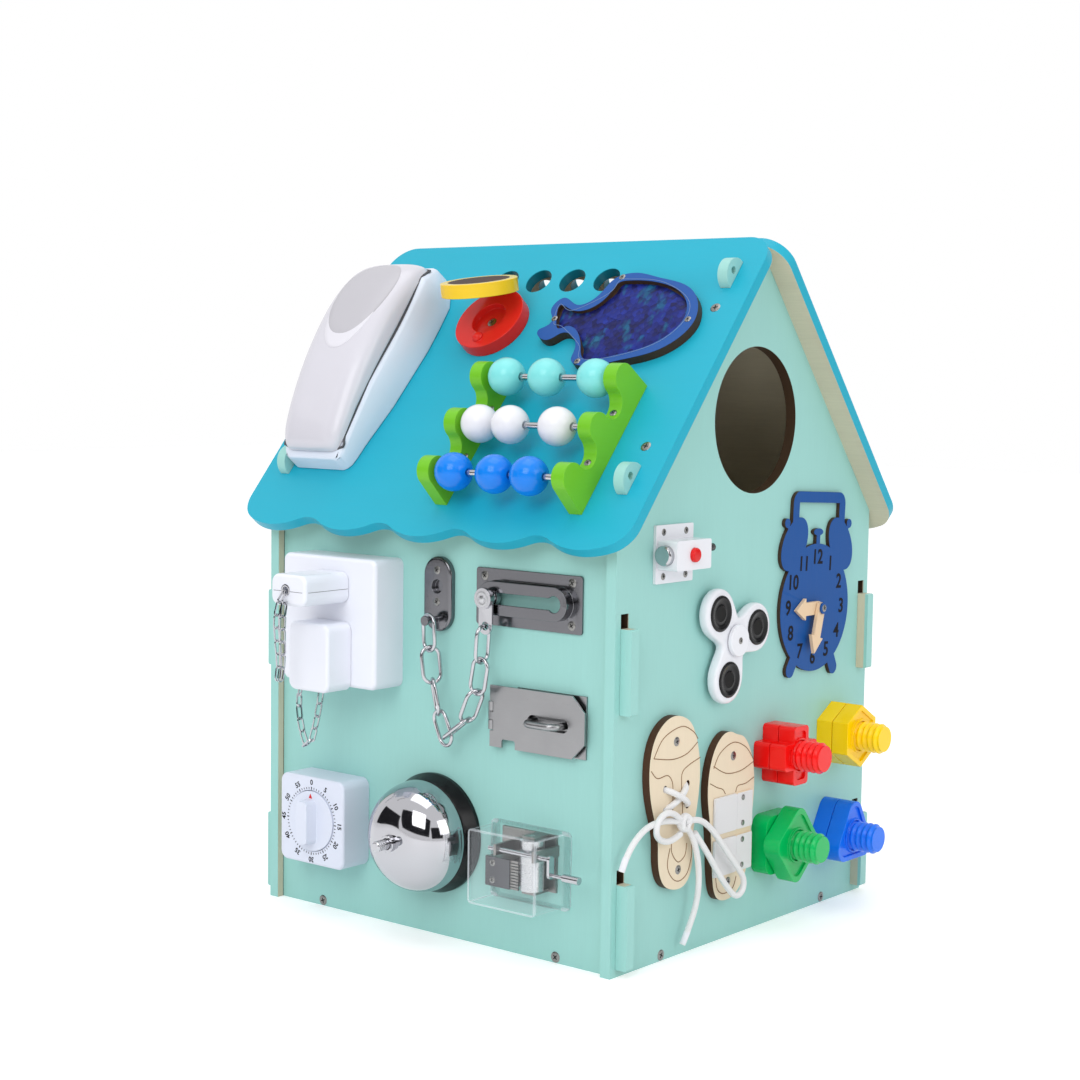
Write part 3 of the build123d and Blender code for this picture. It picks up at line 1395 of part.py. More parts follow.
with BuildPart() as shoelace:
    with Locations((gable_face + shoe_thickness + lace_knot / 2, *lace_knot_place)):
        Sphere(lace_knot / 2)
    add(lace_tubes)
shoelace.part.label = "shoelace"
export_step(shoelace.part, "parts/shoelace.step")

# ------------------------------------------------------------- bolts and nuts


def bolt_shape(colour, inset=0.0):
    """The outline shared by a bolt's head and its nut, as a sketch, drawn smaller by inset."""
    with BuildSketch() as shape:
        if colour == "red":
            Rectangle(cross_size - 2 * inset, cross_arm - 2 * inset)
            Rectangle(cross_arm - 2 * inset, cross_size - 2 * inset)
            fillet(shape.vertices().filter_by(lambda v: abs(abs(v.X) - abs(v.Y)) > 1), radius=cross_round)
        elif colour == "yellow":
            RegularPolygon(hexagon_flats / 2 - inset, 6, major_radius=False, rotation=30)
        elif colour == "green":
            side = square_size - 2 * inset
            RectangleRounded(side, side, square_round - inset / 2)
        else:
            with PolarLocations(triangle_reach, 3, start_angle=90):
                Circle(triangle_round - inset)
            make_hull()
    return shape.sketch


with BuildPart() as bolt_studs:
    for colour, (y, z) in bolt_places.items():
        seat = gable(y, z)
        with BuildSketch(seat):
            add(bolt_shape(colour))
        extrude(amount=bolt_head_thickness)
        with BuildSketch(Plane(origin=(gable_face, y, z), x_dir=(0, 1, 0), z_dir=(0, 0, 1))):
            with BuildLine():
                start = bolt_head_thickness - 1
                profile = [(0, -start), (stud_radius, -start)]
                turns = int((stud_end - bolt_head_thickness - thread_run_out) / thread_pitch)
                for i in range(turns):
                    base = -bolt_head_thickness - thread_start - i * thread_pitch
                    profile += [(stud_radius, base),
                                (thread_radius, base - thread_pitch * 0.35),
                                (thread_radius, base - thread_pitch * 0.55),
                                (stud_radius, base - thread_pitch * 0.9)]
                Polyline(profile + [(stud_radius, -stud_end), (0, -stud_end)], close=True)
            make_face()
        revolve(axis=Axis((gable_face, y, z), (1, 0, 0)))
bolt_studs.part.label = "bolt_studs"
export_step(bolt_studs.part, "parts/bolt_studs.step")

for colour, (y, z) in bolt_places.items():
    seat = turned(gable(y, z, nut_start), nut_turn[colour])
    with BuildPart() as nut:
        with BuildSketch(seat):
            add(bolt_shape(colour))
            Circle(thread_radius + shaft_play, mode=Mode.SUBTRACT)
        extrude(amount=nut_thickness)
        with BuildSketch(seat.offset(nut_thickness)):
            add(bolt_shape(colour, nut_rim))
            Circle(thread_radius + nut_hub, mode=Mode.SUBTRACT)
        extrude(amount=-nut_recess, mode=Mode.SUBTRACT)
    nut.part.label = f"nut_{colour}"
    export_step(nut.part, f"parts/nut_{colour}.step")

# --------------------------------------------------------------------- screws
panel_screws = front_screws + back_screws + right_screws + left_screws + roof_screws
with BuildPart() as screws:
    for seat in panel_screws:
        add_screw(seat)
    add_screw(castanet_screw, short_screw_length)
screws.part.label = "screws"
export_step(screws.part, "parts/screws.step")
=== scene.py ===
"""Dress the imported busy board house: finishes, fine pieces, studio and camera.

The house is a plywood box with a gabled roof whose walls carry bought fittings. Every
length is in millimetres until it becomes a mesh, and every piece sits on a Seat: a
point of a wall or of the roof with its own right, up and outward directions.
"""
from __future__ import annotations

import logging
import math
from abc import ABC, abstractmethod
from dataclasses import dataclass, field
from enum import Enum
from functools import partial
from typing import Callable, ClassVar, Sequence, Union

import bmesh
import bpy
from mathutils import Matrix, Quaternion, Vector
from mathutils.bvhtree import BVHTree

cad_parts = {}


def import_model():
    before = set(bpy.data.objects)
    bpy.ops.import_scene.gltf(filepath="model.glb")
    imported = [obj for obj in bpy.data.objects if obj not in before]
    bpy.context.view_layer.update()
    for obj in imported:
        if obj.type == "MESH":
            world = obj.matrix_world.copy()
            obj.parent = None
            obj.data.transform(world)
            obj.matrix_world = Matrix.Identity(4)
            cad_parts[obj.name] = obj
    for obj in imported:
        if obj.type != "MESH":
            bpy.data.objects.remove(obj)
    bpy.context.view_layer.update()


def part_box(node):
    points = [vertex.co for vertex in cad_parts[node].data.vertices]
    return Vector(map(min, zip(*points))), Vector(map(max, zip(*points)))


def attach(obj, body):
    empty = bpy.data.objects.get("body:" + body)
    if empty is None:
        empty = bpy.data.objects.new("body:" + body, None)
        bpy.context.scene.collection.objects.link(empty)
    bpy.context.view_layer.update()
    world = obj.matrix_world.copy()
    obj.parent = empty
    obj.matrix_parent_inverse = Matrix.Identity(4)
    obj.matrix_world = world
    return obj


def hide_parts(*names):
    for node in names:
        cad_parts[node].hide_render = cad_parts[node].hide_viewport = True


LOG = logging.getLogger("busy_board")
MM = 0.001
PER_METRE = 1000.0
Triple = tuple[float, float, float]
Colour = Triple
Point2 = tuple[float, float]
Points = tuple[Point2, ...]
Profile = Sequence[Point2]
Number = Union[int, float, "Wire"]

# ------------------------------------------------------------------ the house's sizes
PLY = 7.5
HALF_WIDTH = 150.0
WALL = 144.5
APEX = 455.0
HALF_DEPTH = 150.0
GABLE_RISE = 180.0
PITCH = math.atan2(GABLE_RISE, HALF_DEPTH)
SIN, COS = math.sin(PITCH), math.cos(PITCH)
WINDOW_HEIGHT = 341.0
WINDOW_RADIUS = 48.0
FINGER_FIRST, FINGER_PITCH, FINGER_DOWN = -42.25, 29.5, 35.0
FINGER_HOLES = [(FINGER_FIRST + FINGER_PITCH * i, FINGER_DOWN) for i in range(4)]
FINGER_RADIUS = 10.2
AXIS_X, AXIS_Y, AXIS_Z = Vector((1, 0, 0)), Vector((0, 1, 0)), Vector((0, 0, 1))


class Wall(Enum):
    """The faces that carry pieces."""

    FRONT = "front"
    GABLE = "gable"
    ROOF = "roof"


@dataclass(frozen=True)
class Seat:
    """A place on a face with its own directions.

    Args:
        origin: The point, in millimetres in the house's frame.
        right: Direction of the seat's first coordinate.
        up: Direction of its second coordinate.
    """

    origin: Vector
    right: Vector
    up: Vector

    @property
    def out(self) -> Vector:
        """Direction away from the face."""
        return self.right.cross(self.up)

    def point(self, x: float = 0.0, y: float = 0.0, lift: float = 0.0) -> Vector:
        """Returns: The point at these local coordinates, in millimetres."""
        return self.origin + self.right * x + self.up * y + self.out * lift

    def moved(self, x: float = 0.0, y: float = 0.0, lift: float = 0.0) -> "Seat":
        """Returns: The same directions at another local point."""
        return Seat(self.point(x, y, lift), self.right, self.up)

    def turned(self, degrees: float) -> "Seat":
        """Returns: The seat turned anticlockwise, seen from outside."""
        turn = Quaternion(self.out, math.radians(degrees))
        return Seat(self.origin, turn @ self.right, turn @ self.up)

    def facing(self, right: Vector, up: Vector) -> "Seat":
        """Returns: A seat at the same point with other directions."""
        return Seat(self.origin, right.normalized(), up.normalized())


def seat_on(wall: Wall, across: float, along: float, lift: float = 0.0) -> Seat:
    """Place a seat on a face.

    Args:
        wall: The face.
        across: X on the front wall and the roof, Y on the gable.
        along: Z on a wall, distance down the slope from the ridge on the roof.
        lift: Distance out of the face.

    Returns:
        The seat.
    """
    if wall is Wall.FRONT:
        return Seat(Vector((across, -WALL - lift, along)), AXIS_X, AXIS_Z)
    if wall is Wall.GABLE:
        return Seat(Vector((HALF_WIDTH + lift, across, along)), AXIS_Y, AXIS_Z)
    y = -PLY * SIN - along * COS - lift * SIN
    z = APEX + PLY * COS - along * SIN + lift * COS
    return Seat(Vector((across, y, z)), AXIS_X, Vector((0, COS, SIN)))


def around(count: int, extra: int = 0) -> list[float]:
    """Returns: The angles of count points round a circle, and of extra ones past a whole turn."""
    return [2 * math.pi * i / count for i in range(count + extra)]


def polar(radius: float, angle: float) -> Point2:
    """Returns: The two coordinates of a point from its radius and angle."""
    return radius * math.cos(angle), radius * math.sin(angle)


# ------------------------------------------------------------------ shader arithmetic
def operator(operation: str, swapped: bool = False) -> Callable[["Wire", Number], "Wire"]:
    """Make one arithmetic method of Wire.

    Args:
        operation: The Math node's operation.
        swapped: Whether the other value comes first, as in a reflected operator.

    Returns:
        The method.
    """
    def method(wire: "Wire", other: Number) -> "Wire":
        """Returns: The output of the operation's Math node."""
        return wire._math(operation, *((other, wire) if swapped else (wire, other)))
    return method


class Wire:
    """A shader value that takes part in arithmetic, each step one Math node."""

    def __init__(self, shader: "Shader", socket: bpy.types.NodeSocket) -> None:
        """Wrap an output socket of one of the shader's nodes."""
        self.shader = shader
        self.socket = socket

    def _math(self, operation: str, *operands: Number) -> "Wire":
        """Returns: The output of a Math node on the operands."""
        return self.shader.node("Math", dict(enumerate(operands)), operation=operation)

    __add__ = __radd__ = operator("ADD")
    __sub__ = operator("SUBTRACT")
    __rsub__ = operator("SUBTRACT", swapped=True)
    __mul__ = __rmul__ = operator("MULTIPLY")
    __truediv__ = operator("DIVIDE")
    __rtruediv__ = operator("DIVIDE", swapped=True)
    __pow__ = operator("POWER")
    __rpow__ = operator("POWER", swapped=True)

    def __abs__(self) -> "Wire":
        """Returns: The value without its sign."""
        return self._math("ABSOLUTE", self)

    def above(self, level: float, soft: float = 0.1) -> "Wire":
        """Returns: 1 where the value is above the level and 0 below it, over a soft step."""
        return ((self - level) / soft + 0.5).clamped()

    def within(self, low: float, high: float, soft: float = 0.1) -> "Wire":
        """Returns: 1 between two levels and 0 outside them."""
        return self.above(low, soft) * (1.0 - self.above(high, soft))

    def clamped(self) -> "Wire":
        """Returns: The value held between 0 and 1."""
        return self._math("MINIMUM", self._math("MAXIMUM", self, 0.0), 1.0)

    def most(self, other: Number) -> "Wire":
        """Returns: The larger of two values."""
        return self._math("MAXIMUM", self, other)

    def repeated(self, period: float) -> "Wire":
        """Returns: The value's remainder over a period, as a share of it."""
        return self._math("FRACT", self / period)

    def output(self, name: str) -> "Wire":
        """Returns: Another output of the same node."""
        return Wire(self.shader, self.socket.node.outputs[name])


def root_sum(*parts: Number) -> Wire:
    """Returns: The square root of the sum of squares."""
    return sum(part * part for part in parts) ** 0.5


class Shader:
    """One material or world being wired around its single surface node."""

    def __init__(self, name: str, world: bool = False, **sockets: object) -> None:
        """Start a material or the world.

        Args:
            name: Its name.
            world: Whether it is the world and not a material.
            sockets: Plain values for the surface's own sockets.
        """
        self.owner = (bpy.data.worlds if world else bpy.data.materials).new(name)
        self.owner.use_nodes = True
        self.tree = self.owner.node_tree
        self.surface = self.tree.nodes["Background" if world else "Principled BSDF"]
        self._place: tuple[Wire, Wire, Wire] | None = None
        self.wear(**sockets)

    def feed(self, socket: bpy.types.NodeSocket, value: object) -> None:
        """Link a wire to a socket or set the socket's own value.

        Args:
            socket: The input.
            value: A wire, or a plain value.
        """
        if isinstance(value, Wire):
            self.tree.links.new(value.socket, socket)
        elif isinstance(value, tuple) and len(value) == 3 and socket.type == "RGBA":
            socket.default_value = (*value, 1.0)
        else:
            socket.default_value = value

    def node(self, kind: str, inputs: dict | None = None, output: int | str = 0,
             **settings: object) -> Wire:
        """Add any node.

        Args:
            kind: The node's type without the ShaderNode prefix.
            inputs: Values or wires for its inputs, by name or by number.
            output: The output to take.
            settings: Attributes of the node, set before its inputs.

        Returns:
            The chosen output.
        """
        node = self.tree.nodes.new("ShaderNode" + kind)
        for label, value in settings.items():
            setattr(node, label, value)
        for key, value in (inputs or {}).items():
            self.feed(node.inputs[key], value)
        return Wire(self, node.outputs[output])

    def place(self) -> tuple[Wire, Wire, Wire]:
        """Returns: The point's coordinates at rest in the house's frame, in millimetres."""
        if self._place is None:
            spot = self.node("TexCoord", output="Object")
            x = self.node("SeparateXYZ", {0: spot})
            self._place = (x * PER_METRE, x.output("Y") * PER_METRE, x.output("Z") * PER_METRE)
        return self._place

    def spot(self, x: float = 1.0, y: float = 1.0, z: float = 1.0) -> Wire:
        """Returns: The point's coordinates scaled on each axis."""
        scale = (PER_METRE * x, PER_METRE * y, PER_METRE * z)
        spot = self.node("TexCoord", output="Object")
        return self.node("VectorMath", {0: spot, 1: scale}, operation="MULTIPLY")

    def noise(self, size: float, stretch: Triple = (1, 1, 1), detail: float = 3.0) -> Wire:
        """Returns: Smooth noise with features of about a size in millimetres, times the stretch."""
        spot = self.spot(*(1.0 / (size * s) for s in stretch))
        return self.node("TexNoise", {"Vector": spot, "Scale": 1.0, "Detail": detail, "Roughness": 0.55})

    def cells(self, size: float, output: str = "Color") -> Wire:
        """Returns: An output of a field of cells of a size in millimetres."""
        spot = self.spot(1 / size, 1 / size, 1 / size)
        return self.node("TexVoronoi", {"Vector": spot, "Scale": 1.0}, output)

    def mix(self, factor: Number, low: object, high: object) -> Wire:
        """Returns: A colour between two colours."""
        return self.node("Mix", {0: factor, 6: low, 7: high}, 2, data_type="RGBA")

    def bump(self, height: Number, depth: float, strength: float = 0.6) -> Wire:
        """Returns: A normal roughened by a height whose full range is depth millimetres."""
        return self.node("Bump", {"Height": height, "Distance": depth * MM, "Strength": strength})

    def seen(self) -> Wire:
        """Returns: 1 for what the camera, metal or clear plastic sees, and 0 for light on things."""
        camera = self.node("LightPath", output="Is Camera Ray")
        return (camera + camera.output("Is Glossy Ray") + camera.output("Is Transmission Ray")).clamped()

    def wear(self, **sockets: object) -> "Shader":
        """Feed sockets of the surface.

        Args:
            sockets: Wires or values, by the sockets' names with underscores.

        Returns:
            The shader.
        """
        for label, value in sockets.items():
            name = label.replace("_", " ").title().replace("Ior", "IOR")
            self.feed(self.surface.inputs[name], value)
        return self


Mask = Callable[[Shader], Wire]


def shade(colour: Colour, share: float) -> Colour:
    """Returns: A colour made lighter or darker by a share."""
    return tuple(min(1.0, c * share) for c in colour)


# ------------------------------------------------------------------------- finishes
@dataclass(frozen=True)
class Finish(ABC):
    """What a piece is made of.

    Args:
        name: The material's name.
        slot: The record's slot that the finish belongs to; not used.
        colour: Its main colour.
    """

    name: str
    slot: str
    colour: Colour

    @abstractmethod
    def material(self) -> bpy.types.Material:
        """Returns: The finish's material."""


@dataclass(frozen=True)
class Plastic(Finish):
    """Moulded plastic: gloss, a trace of orange peel and a faint mottle.

    Args:
        roughness: Its middle roughness.
        coat: Weight of its gloss coat.
        peel: Depth of the orange peel in millimetres.
        shine: How strongly it mirrors.
        peel_size: Size of the orange peel in millimetres.
        spread: How far the peel changes the roughness.
        cloud_size: Size of the mottle in millimetres.
        dull: Share of the colour where the mottle is darkest.
    """

    roughness: float = 0.3
    coat: float = 0.1
    peel: float = 0.03
    shine: float = 0.3
    peel_size: float = 2.2
    spread: float = 0.08
    cloud_size: float = 28.0
    dull: float = 0.95

    def material(self) -> bpy.types.Material:
        """Returns: The plastic's material."""
        shader = Shader(self.name, coat_roughness=0.08, specular_ior_level=self.shine)
        grain = shader.noise(self.peel_size)
        cloud = shader.noise(self.cloud_size)
        return shader.wear(
            base_color=shader.mix(cloud, shade(self.colour, self.dull), self.colour),
            roughness=self.roughness + (grain - 0.5) * self.spread,
            coat_weight=self.coat,
            normal=shader.bump(grain, self.peel),
        ).owner


@dataclass(frozen=True)
class Metal(Finish):
    """Plated or brushed metal, its brushing running along the stretched axis.

    Args:
        roughness: Its middle roughness.
        brush: How far the brushing is stretched on each axis.
        depth: Depth of the brushing in millimetres.
        variation: How far the brushing changes the roughness and darkens the colour.
        line_size: Width of the brushing in millimetres.
        cloud_size: Size of the dull patches in millimetres.
    """

    roughness: float = 0.12
    brush: Triple = (1, 1, 1)
    depth: float = 0.02
    variation: float = 0.08
    line_size: float = 0.6
    cloud_size: float = 18.0

    def material(self) -> bpy.types.Material:
        """Returns: The metal's material."""
        shader = Shader(self.name, metallic=1.0)
        lines = shader.noise(self.line_size, self.brush, 4.0)
        cloud = shader.noise(self.cloud_size)
        tone = (cloud * 0.6 + lines * 0.4).clamped()
        return shader.wear(
            base_color=shader.mix(tone, shade(self.colour, 1 - self.variation * 2), self.colour),
            roughness=(self.roughness + (lines - 0.5) * self.variation).clamped(),
            normal=shader.bump(lines, self.depth),
        ).owner


@dataclass(frozen=True)
class Timber(Finish):
    """Birch plywood, bare or painted, with paint where a mask says.

    Args:
        bare: Colour where the mask is 0.
        mask: Works out the mask from the shader, or None for paint all over.
        along: The axis along which the grain runs: 0, 1 or 2.
        roughness: Its middle roughness.
        grain: Depth of the fibres in millimetres.
        dark: Works out where the wood is burnt and where shade is painted on it, or None.
        burnt: Colour there, for the burnt wood and for the painted shade alike.
        figure: Share of the colour where the figure is darkest.
        stretch: How much longer than wide the fibres are.
        fibre_size: Width of a fibre in millimetres.
        figure_size: Width of the figure in millimetres.
    """

    bare: Colour = (0.80, 0.66, 0.45)
    mask: Mask | None = None
    along: int = 2
    roughness: float = 0.42
    grain: float = 0.10
    dark: Mask | None = None
    burnt: Colour = (0.06, 0.035, 0.02)
    figure: float = 0.93
    stretch: float = 14.0
    fibre_size: float = 1.4
    figure_size: float = 16.0

    def material(self) -> bpy.types.Material:
        """Returns: The wood's material."""
        shader = Shader(self.name, coat_roughness=0.3, specular_ior_level=0.25)
        stretch = tuple(self.stretch if axis == self.along else 1.0 for axis in range(3))
        fibre = shader.noise(self.fibre_size, stretch, 5.0)
        figure = shader.noise(self.figure_size, stretch, 2.0)
        tone = (fibre * 0.6 + figure * 0.4).clamped()
        light = shader.mix(tone, shade(self.colour, self.figure), shade(self.colour, 1.02))
        raw = shader.mix(tone, shade(self.bare, 0.74), self.bare)
        colour = shader.mix(self.mask(shader) if self.mask else 1.0, raw, light)
        # Burnt colour and painted shade go where the dark mask says.
        if self.dark:
            colour = shader.mix(self.dark(shader), colour, self.burnt)
        return shader.wear(
            base_color=colour,
            roughness=self.roughness + (fibre - 0.5) * 0.14,
            coat_weight=0.05,
            normal=shader.bump(fibre, self.grain, 0.5),
        ).owner


@dataclass(frozen=True)
class Cloth(Finish):
    """Woven or braided fabric with crossing yarns and a soft sheen.

    Args:
        pitch: Distance from yarn to yarn in millimetres.
        depth: Depth of the weave in millimetres.
    """

    pitch: float = 0.9
    depth: float = 0.25

    def material(self) -> bpy.types.Material:
        """Returns: The fabric's material."""
        shader = Shader(self.name, sheen_weight=0.35, sheen_roughness=0.5)
        x, y, z = shader.place()
        warp = abs((y + z).repeated(self.pitch) - 0.5)
        weft = abs((y - z + x * 0.7).repeated(self.pitch) - 0.5)
        yarn = (warp + weft).clamped()
        return shader.wear(
            base_color=shader.mix(yarn, shade(self.colour, 0.82), self.colour),
            roughness=0.78 + yarn * 0.1,
            normal=shader.bump(yarn, self.depth, 0.8),
        ).owner


@dataclass(frozen=True)
class Sequins(Finish):
    """Overlapping metallic sequins in blues, with a lighter streak.

    Args:
        size: Across one sequin, in millimetres.
        streak_size: Width of the streaks in millimetres.
        cloud_size: Size of the darker and lighter patches in millimetres.
        navy: The darker patches' darkest and lightest colour.
        royal: The lighter patches' darkest and lightest colour.
        sea: The streaks' darkest and lightest colour.
    """

    size: float = 3.6
    streak_size: float = 13.0
    cloud_size: float = 20.0
    navy: tuple[Colour, Colour] = ((0.003, 0.004, 0.045), (0.008, 0.012, 0.14))
    royal: tuple[Colour, Colour] = ((0.006, 0.008, 0.10), (0.012, 0.030, 0.30))
    sea: tuple[Colour, Colour] = ((0.0, 0.05, 0.16), (0.01, 0.16, 0.26))

    def material(self) -> bpy.types.Material:
        """Returns: The sequins' material."""
        shader = Shader(self.name, coat_roughness=0.1, specular_ior_level=0.2)
        tint = shader.node("SeparateColor", {0: shader.cells(self.size)})
        streak = shader.noise(self.streak_size, (0.8, 1.6, 1.6), 2.0).above(0.60, 0.10)
        cloud = shader.noise(self.cloud_size).above(0.5, 0.3)
        navy, royal, sea = (shader.mix(tint, *pair) for pair in (self.navy, self.royal, self.sea))
        colour = shader.mix(streak * 0.7, shader.mix(cloud, navy, royal), sea)
        edge = shader.cells(self.size, "Distance")
        return shader.wear(
            base_color=colour,
            metallic=0.2,
            roughness=0.34 + edge * 0.25,
            coat_weight=0.05,
            normal=shader.bump(edge + tint.output("Green") * 0.8, 0.4, 0.6),
        ).owner


@dataclass(frozen=True)
class Clear(Finish):
    """Thin clear acrylic, denser where a mask says that its edges are.

    Args:
        edges: Works out the edges from the shader.
        film: How much the faces hide.
        rim: How much more the edges hide.
        haze_size: Size of the faint haze in millimetres.
    """

    edges: Mask | None = None
    film: float = 0.04
    rim: float = 0.26
    haze_size: float = 9.0

    def material(self) -> bpy.types.Material:
        """Returns: The acrylic's material."""
        shader = Shader(self.name, specular_ior_level=0.6)
        haze = shader.noise(self.haze_size)
        dense = self.edges(shader) if self.edges else 0.0
        return shader.wear(
            base_color=self.colour,
            roughness=0.04 + haze * 0.04,
            alpha=self.film + (haze - 0.5) * 0.02 + dense * self.rim,
            normal=shader.bump(haze, 0.04, 0.25),
        ).owner


class Palette:
    """Makes each finish's material once and hands it out."""

    _made: ClassVar[dict[str, bpy.types.Material]] = {}

    @classmethod
    def get(cls, finish: Finish) -> bpy.types.Material:
        """Returns: The finish's material."""
        if finish.name not in cls._made:
            cls._made[finish.name] = finish.material()
        return cls._made[finish.name]


# ---------------------------------------------------------------------------- masks
SKIN = 0.1  # how far under a face its paint starts
BURNT_WINDOW = WINDOW_RADIUS + 0.15  # radius that takes in the window's wall
FINGER_SHADE_EDGE = FINGER_RADIUS + 0.12  # and that of a finger hole
TAB_PAINT = 156.0  # x at which the paint of a tab's end starts
# The next four bound the shade painted in the hollows beside the walls' tabs and on the tabs' sides.
TAB_HOLLOW_SHADE = (WALL - PLY - 0.2, WALL + 0.5)  # y of the hollows beside the walls' tabs
GABLE_FACE = HALF_WIDTH - 0.6  # x at which those hollows end
TAB_SIDE_SHADE = (142.0, 149.6)  # x of the tabs' dim sides
TAB_TOP = WALL - 0.3  # y at which those sides end
CLOCK_FACE, SHOE_FACE, WHALE_FACE = 152.8, 155.6, 6.35  # just under those boards' outer faces
BOLT_ROWS = 88.0  # z between the rows of bolts
BOLT_SPLITS = (66.0, 62.0)  # y between the bolts of each row, upper first
COVER_MIDDLE = (82.5, 60.0)  # x and z of the clear cover's middle
COVER_HALF = (26.0, 22.6)  # half its width and height, just inside its faces
COVER_DEPTHS = (28.6, 1.5)  # distance off the wall of its front and its foot


def roof_lift(shader: Shader, side: int = -1) -> Wire:
    """Returns: Height over a roof panel's outer face, side -1 for the front panel."""
    _, y, z = shader.place()
    return side * y * SIN + z * COS - (APEX * COS + PLY)


def roof_place(shader: Shader, side: int = -1) -> Wire:
    """Returns: Distance down a roof panel's slope from the ridge."""
    _, y, z = shader.place()
    return (side * y - PLY * SIN) * COS + (APEX + PLY * COS - z) * SIN


def beyond(shader: Shader, x: float) -> Wire:
    """Returns: 1 past a distance to the right."""
    return shader.place()[0].above(x)


def gable_paint(shader: Shader) -> Wire:
    """Returns: Paint on a gable's outer face, its upright edges and its tabs over the roof."""
    x, y, _ = shader.place()
    over_roof = roof_lift(shader, -1).most(roof_lift(shader, 1)).above(SKIN)
    return abs(x).above(HALF_WIDTH - SKIN).most(abs(y).above(HALF_DEPTH - SKIN)).most(over_roof)


def window_rim(shader: Shader) -> Wire:
    """Returns: The burnt wall of a gable's round window."""
    _, y, z = shader.place()
    return 1.0 - root_sum(y, z - WINDOW_HEIGHT).above(BURNT_WINDOW)


def wall_paint(shader: Shader, side: int) -> Wire:
    """Returns: Paint on the outer face of the front (-1) or back (1) wall and its tabs' ends."""
    x, y, _ = shader.place()
    return (y * side).above(WALL - SKIN).most(abs(x).above(TAB_PAINT))


def roof_paint(shader: Shader, side: int) -> Wire:
    """Returns: Paint on all but a roof panel's underside."""
    return roof_lift(shader, side).above(-PLY + SKIN)


def finger_walls(shader: Shader, side: int) -> Wire:
    """Mark the walls of a roof panel's finger holes, where shade is painted.

    Args:
        shader: The material's shader.
        side: -1 for the front panel, 1 for the back panel.

    Returns:
        The mask.
    """
    x = shader.place()[0]
    down = roof_place(shader, side)
    holes = [1.0 - root_sum(x - across, down - place).above(FINGER_SHADE_EDGE)
             for across, place in FINGER_HOLES]
    inside = 1.0 - roof_lift(shader, side).above(-0.5, 0.6)
    return (holes[0] + holes[1] + holes[2] + holes[3]) * inside


def four_colours(shader: Shader) -> Wire:
    """Returns: The bolts' four colours, by their quarter of the gable."""
    _, y, z = shader.place()
    upper = shader.mix(y.above(BOLT_SPLITS[0]), NUTS["red"].colour, NUTS["yellow"].colour)
    lower = shader.mix(y.above(BOLT_SPLITS[1]), NUTS["green"].colour, NUTS["blue"].colour)
    return shader.mix(z.above(BOLT_ROWS), lower, upper)


@dataclass(frozen=True)
class FourColours(Finish):
    """Glossy plastic in the four bolts' colours."""

    def material(self) -> bpy.types.Material:
        """Returns: The bolts' material."""
        shader = Shader(self.name, coat_roughness=0.08, specular_ior_level=0.3)
        grain = shader.noise(2.2)
        return shader.wear(
            base_color=four_colours(shader),
            coat_weight=0.15,
            normal=shader.bump(grain, 0.03),
            roughness=0.2 + (grain - 0.5) * 0.06,
        ).owner


def cover_edges(shader: Shader) -> Wire:
    """Mark the music box cover's edges, where two of its faces meet.

    Args:
        shader: The material's shader.

    Returns:
        The mask.
    """
    x, y, z = shader.place()
    soft = 0.8
    sides = abs(x - COVER_MIDDLE[0]).above(COVER_HALF[0], soft)
    ends = abs(z - COVER_MIDDLE[1]).above(COVER_HALF[1], soft)
    top = (-WALL - y).above(COVER_DEPTHS[0], soft)
    foot = 1.0 - (-WALL - y).above(COVER_DEPTHS[1], soft)
    return (sides + ends + top + foot).above(1.5, 0.6)


def gable_shadow(shader: Shader) -> Wire:
    """Returns: A gable's burnt window rim, and the shade painted in the hollows beside the walls' tabs."""
    x, y, _ = shader.place()
    under_roof = 1.0 - roof_lift(shader, -1).most(roof_lift(shader, 1)).above(-0.5)
    # Painted shade in the hollows beside the tabs.
    hollow = abs(y).within(*TAB_HOLLOW_SHADE) * (1.0 - abs(x).above(GABLE_FACE)) * under_roof
    return window_rim(shader).most(hollow)


def wall_shadow(shader: Shader) -> Wire:
    """Returns: The shade painted on the sides of the front and back walls' tabs."""
    x, y, _ = shader.place()
    return abs(x).above(TAB_SIDE_SHADE[0]) * (1.0 - abs(x).above(TAB_SIDE_SHADE[1])) * (1.0 - abs(y).above(TAB_TOP))


# --------------------------------------------------------------------------- colours
AQUA: Colour = (0.335, 0.640, 0.600)
TURQUOISE: Colour = (0.013, 0.400, 0.550)
CREAM: Colour = (0.72, 0.66, 0.50)
BURNT: Colour = (0.060, 0.032, 0.018)
# Deep turquoise painted as shade on the walls of the roof's finger holes.
FINGER_HOLE_SHADE: Colour = (0.005, 0.15, 0.21)
SIDES = {"front": -1, "back": 1}

# Gables and walls take the default burnt colour, which here also paints shade by the tabs.
GABLES = {side: Timber(f"paint gable {side}", "aqua_paint", AQUA, CREAM, gable_paint, dark=gable_shadow)
          for side in ("right", "left")}
WALLS = {side: Timber(f"paint {side}", "aqua_paint", AQUA, CREAM, partial(wall_paint, side=sign),
                      dark=wall_shadow)
         for side, sign in SIDES.items()}
# On the roofs the dark mask paints shade on the finger holes' walls.
ROOFS = {side: Timber(f"paint roof {side}", "roof_paint", TURQUOISE, CREAM, partial(roof_paint, side=sign),
                      0, dark=partial(finger_walls, side=sign), burnt=FINGER_HOLE_SHADE)
         for side, sign in SIDES.items()}
BARE_BOARD = Timber("bare board", "bare_birch", CREAM, along=0)
LACQUERS = {name: Timber(f"lacquer {name}", f"castanet_{name}", colour, along=0, roughness=0.22, grain=0.03)
            for name, colour in (("red", (0.72, 0.02, 0.015)), ("yellow", (0.90, 0.58, 0.02)))}
